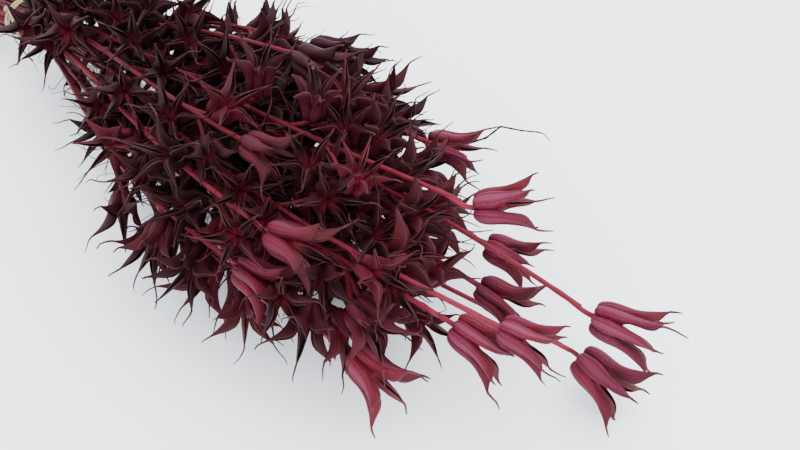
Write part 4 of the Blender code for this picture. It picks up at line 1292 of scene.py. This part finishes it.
# %% Dress every stem
LOOKS_SEED = 29
looks = np.random.default_rng(LOOKS_SEED)
for i, (stem, own_pods) in enumerate(zip(stems, pods)):
    pile = Pile()
    details = [CROWD_POD if k < solid_pods[i] else REST for k in range(len(own_pods))]
    if i < len(FRONT_PODS):
        details[0] = FRONT
    tones = [pod_tone(pod, detail == FRONT, looks) for pod, detail in zip(own_pods, details)]
    add_stem(pile, stem, own_pods, looks)
    add_stalks(pile, own_pods, tones, looks)
    for pod, tone, detail in zip(own_pods, tones, details):
        add_pod(pile, pod, tone, detail, looks)
    add_threads(pile, own_pods, looks)
    if i == TENDRIL_STEM:
        add_tendril(pile)
    name = f"dyed_stem_{i + 1:02d}"
    piece = pile.make(name, FINISHES)
    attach(piece, "root")
    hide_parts(f"stem_with_pods_{i + 1:02d}")

# %% [markdown]
# ## The raffia tie
# A strip of raffia goes twice round the stems and is knotted, and its two ends stick out. A flat strip
# is a tube whose section is a thin oval. Its width direction follows the surface that it is wound on, so
# it is carried along the path here, and not left to the tube's own choice.

# %% Strips of raffia
STRIP_SIDES, RINGS_A_FIBRE = 10, 12.0
WINDING_RINGS, WINDING_OVERLAP, WINDING_WAVE, WAVES_A_TURN = 90, 0.02, 0.12, 5.0


def strip(path, outward, widths, thickness):
    """Point = path + half width cos a across - half thickness sin a outward, where across is square to both
    the path and the outward way."""
    along = unit_rows(np.gradient(path, axis=0))
    outward = unit_rows(outward - along * np.sum(outward * along, axis=1, keepdims=True))
    across = np.cross(along, outward)
    turn = FULL_TURN * np.arange(STRIP_SIDES) / STRIP_SIDES
    flat = 0.5 * widths[:, None, None] * np.cos(turn)[:, None] * across[:, None, :]
    return path[:, None, :] + flat - 0.5 * thickness * np.sin(turn)[:, None] * outward[:, None, :]


def add_strip(pile, path, outward, widths, thickness, tone):
    """One strip, with its fibres' places along and across it."""
    grid = strip(path, outward, widths, thickness)
    along = np.linspace(0.0, 1.0, len(path))[:, None] * len(path) / RINGS_A_FIBRE
    across = np.cos(FULL_TURN * np.arange(STRIP_SIDES) / STRIP_SIDES)
    pile.add(grid[None], 0, tone=tone, along=along, across=across)


def wound_path(start_x, lean, radius):
    """One turn round the stems, at an angle: x = start + lean cos a, with a slight wave in its radius."""
    turn = np.linspace(-WINDING_OVERLAP, FULL_TURN + WINDING_OVERLAP, WINDING_RINGS)
    reach = radius + WINDING_WAVE * np.sin(WAVES_A_TURN * turn)
    path = np.stack([start_x + lean * np.cos(turn), reach * np.cos(turn), reach * np.sin(turn)], axis=1)
    outward = path * np.array([0.0, 1.0, 1.0])
    return path + TIE_MIDDLE, outward


# %% The two windings
# Each winding: its middle along x, how far it leans and its radius.
WINDINGS = ((-1.35, 0.25, 13.55), (1.35, -0.25, 13.75))
WINDING_WIDTH, WINDING_THICKNESS = 2.5, 0.7
WINDING_TONE, TONE_A_LEAN = 0.1, 0.3

tie = Pile()
for start_x, lean, radius in WINDINGS:
    path, outward = wound_path(start_x, lean, radius)
    widths = np.full(len(path), WINDING_WIDTH)
    add_strip(tie, path, outward, widths, WINDING_THICKNESS, WINDING_TONE + TONE_A_LEAN * lean)

# %% The two tails
# How far each tail twists on its way, in radians, its rings, its own thickness and how much it narrows.
TAIL_TWISTS, TAIL_RINGS = (-0.9, 1.1), 40
TAIL_THICKNESS, TAIL_NARROWS_BY = 0.5, 0.35
TAIL_TONE, NEXT_TAIL_TONE = 0.4, 0.3

for k, route in enumerate(TAILS):
    path = smooth_route(route, TAIL_RINGS)
    share = np.linspace(0.0, 1.0, TAIL_RINGS)
    twist = TAIL_TWISTS[k] * share
    outward = (path - TIE_MIDDLE) * np.array([0.0, 1.0, 1.0])
    sideways = np.cross(unit_rows(np.gradient(path, axis=0)), unit_rows(outward))
    outward = np.cos(twist)[:, None] * unit_rows(outward) + np.sin(twist)[:, None] * sideways
    widths = TAIL_WIDTH * (1.0 - TAIL_NARROWS_BY * share)
    add_strip(tie, path, outward, widths, TAIL_THICKNESS, TAIL_TONE + NEXT_TAIL_TONE * k)

# %% The knot
# Three loops of the strip, each turned by its own angle, a little smaller than the solid knot.
LOOP_TILTS, LOOP_RINGS = (0.35, -0.5, 1.5), 36
LOOP_SHARES, LOOP_WIDTH, LOOP_THICKNESS, NEXT_LOOP_TONE = (0.72, 0.72, 0.70), 2.3, 0.8, 0.2

knot_turn = np.linspace(0.0, FULL_TURN, LOOP_RINGS)
for k, tilt in enumerate(LOOP_TILTS):
    reach = np.array(KNOT_SIZE) * LOOP_SHARES
    level, upright = np.cos(knot_turn), np.sin(knot_turn)
    ring = np.stack([level * math.cos(tilt), level * math.sin(tilt), upright], axis=1)
    path = ring * reach + np.array(KNOT) + TIE_MIDDLE
    add_strip(tie, path, ring, np.full(LOOP_RINGS, LOOP_WIDTH), LOOP_THICKNESS, NEXT_LOOP_TONE * k)
piece = tie.make("raffia_tie", [raffia_finish()])
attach(piece, "root")
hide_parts("tie")

# %% [markdown]
# ## The setting
# The bunch lies on a pale table under soft, even light. A wide panel overhead and a bright surrounding
# keep the shadows faint, as in a light tent.

# %% Floor and lights
FLOOR_SIZE, FLOOR_COLOURS = 8.0, ((0.93, 0.955, 0.985, 1.0), (0.95, 0.975, 1.0, 1.0))
SKY_COLOUR, SKY_STRENGTH = (0.88, 0.94, 1.0, 1.0), 3.2
LIT_PLACE = (0.05, 0.0, 0.05)

bpy.ops.mesh.primitive_plane_add(size=FLOOR_SIZE)
floor = bpy.context.active_object
floor.name = "floor"
ground = Finish("pale_table")
paper = ground.noise(ground.where(), 3.0, 2.0)
pale = ground.mix(paper, *FLOOR_COLOURS)
floor.data.materials.append(ground.wear(pale, paper * 0.1 + 0.55))

world = bpy.data.worlds.new("surrounding")
bpy.context.scene.world = world
world.use_nodes = True
sky = world.node_tree.nodes["Background"]
sky.inputs["Color"].default_value = SKY_COLOUR
sky.inputs["Strength"].default_value = SKY_STRENGTH


def panel(name, place, size, power, colour):
    """A square soft light at a place in metres, aimed at the heads of the bunch."""
    light = bpy.data.lights.new(name, "AREA")
    light.size, light.energy, light.color = size, power, colour
    lamp = bpy.data.objects.new(name, light)
    bpy.context.scene.collection.objects.link(lamp)
    lamp.location = place
    lamp.rotation_mode = "QUATERNION"
    lamp.rotation_quaternion = (Vector(place) - Vector(LIT_PLACE)).to_track_quat("Z", "Y")


panel("overhead", (0.30, 0.35, 1.35), 1.5, 22.0, (1.0, 0.99, 0.97))
panel("fill", (1.1, -0.9, 0.7), 1.0, 12.0, (0.95, 0.97, 1.0))

# %% [markdown]
# ## The camera
# The picture looks down on the bunch from in front of the heads and a little to the side. A lens shift
# isn't needed: the camera's place was worked out so that the tie and the front pods fall where the
# picture has them. Its place is in millimetres, in the layout's own frame.

# %% Camera
VIEW_TURN, VIEW_HEIGHT = math.radians(37.294), math.radians(48.0)
CAMERA_PLACE = (498.0, -246.8, 382.2)
FOCAL_PIXELS, FRAME_WIDTH, SENSOR = 900.0, 800.0, 36.0

camera = bpy.data.objects.new("camera", bpy.data.cameras.new("camera"))
bpy.context.scene.collection.objects.link(camera)
camera.location = (np.array(CAMERA_PLACE) - np.array([*BUNCH_MIDDLE, 0.0])) * MM
back = Vector((
    math.sin(VIEW_TURN) * math.cos(VIEW_HEIGHT),
    -math.cos(VIEW_TURN) * math.cos(VIEW_HEIGHT),
    math.sin(VIEW_HEIGHT),
))
camera.rotation_mode = "QUATERNION"
camera.rotation_quaternion = (-back).to_track_quat("-Z", "Y")
camera.data.sensor_width = SENSOR
camera.data.lens = FOCAL_PIXELS / FRAME_WIDTH * SENSOR
bpy.context.scene.camera = camera
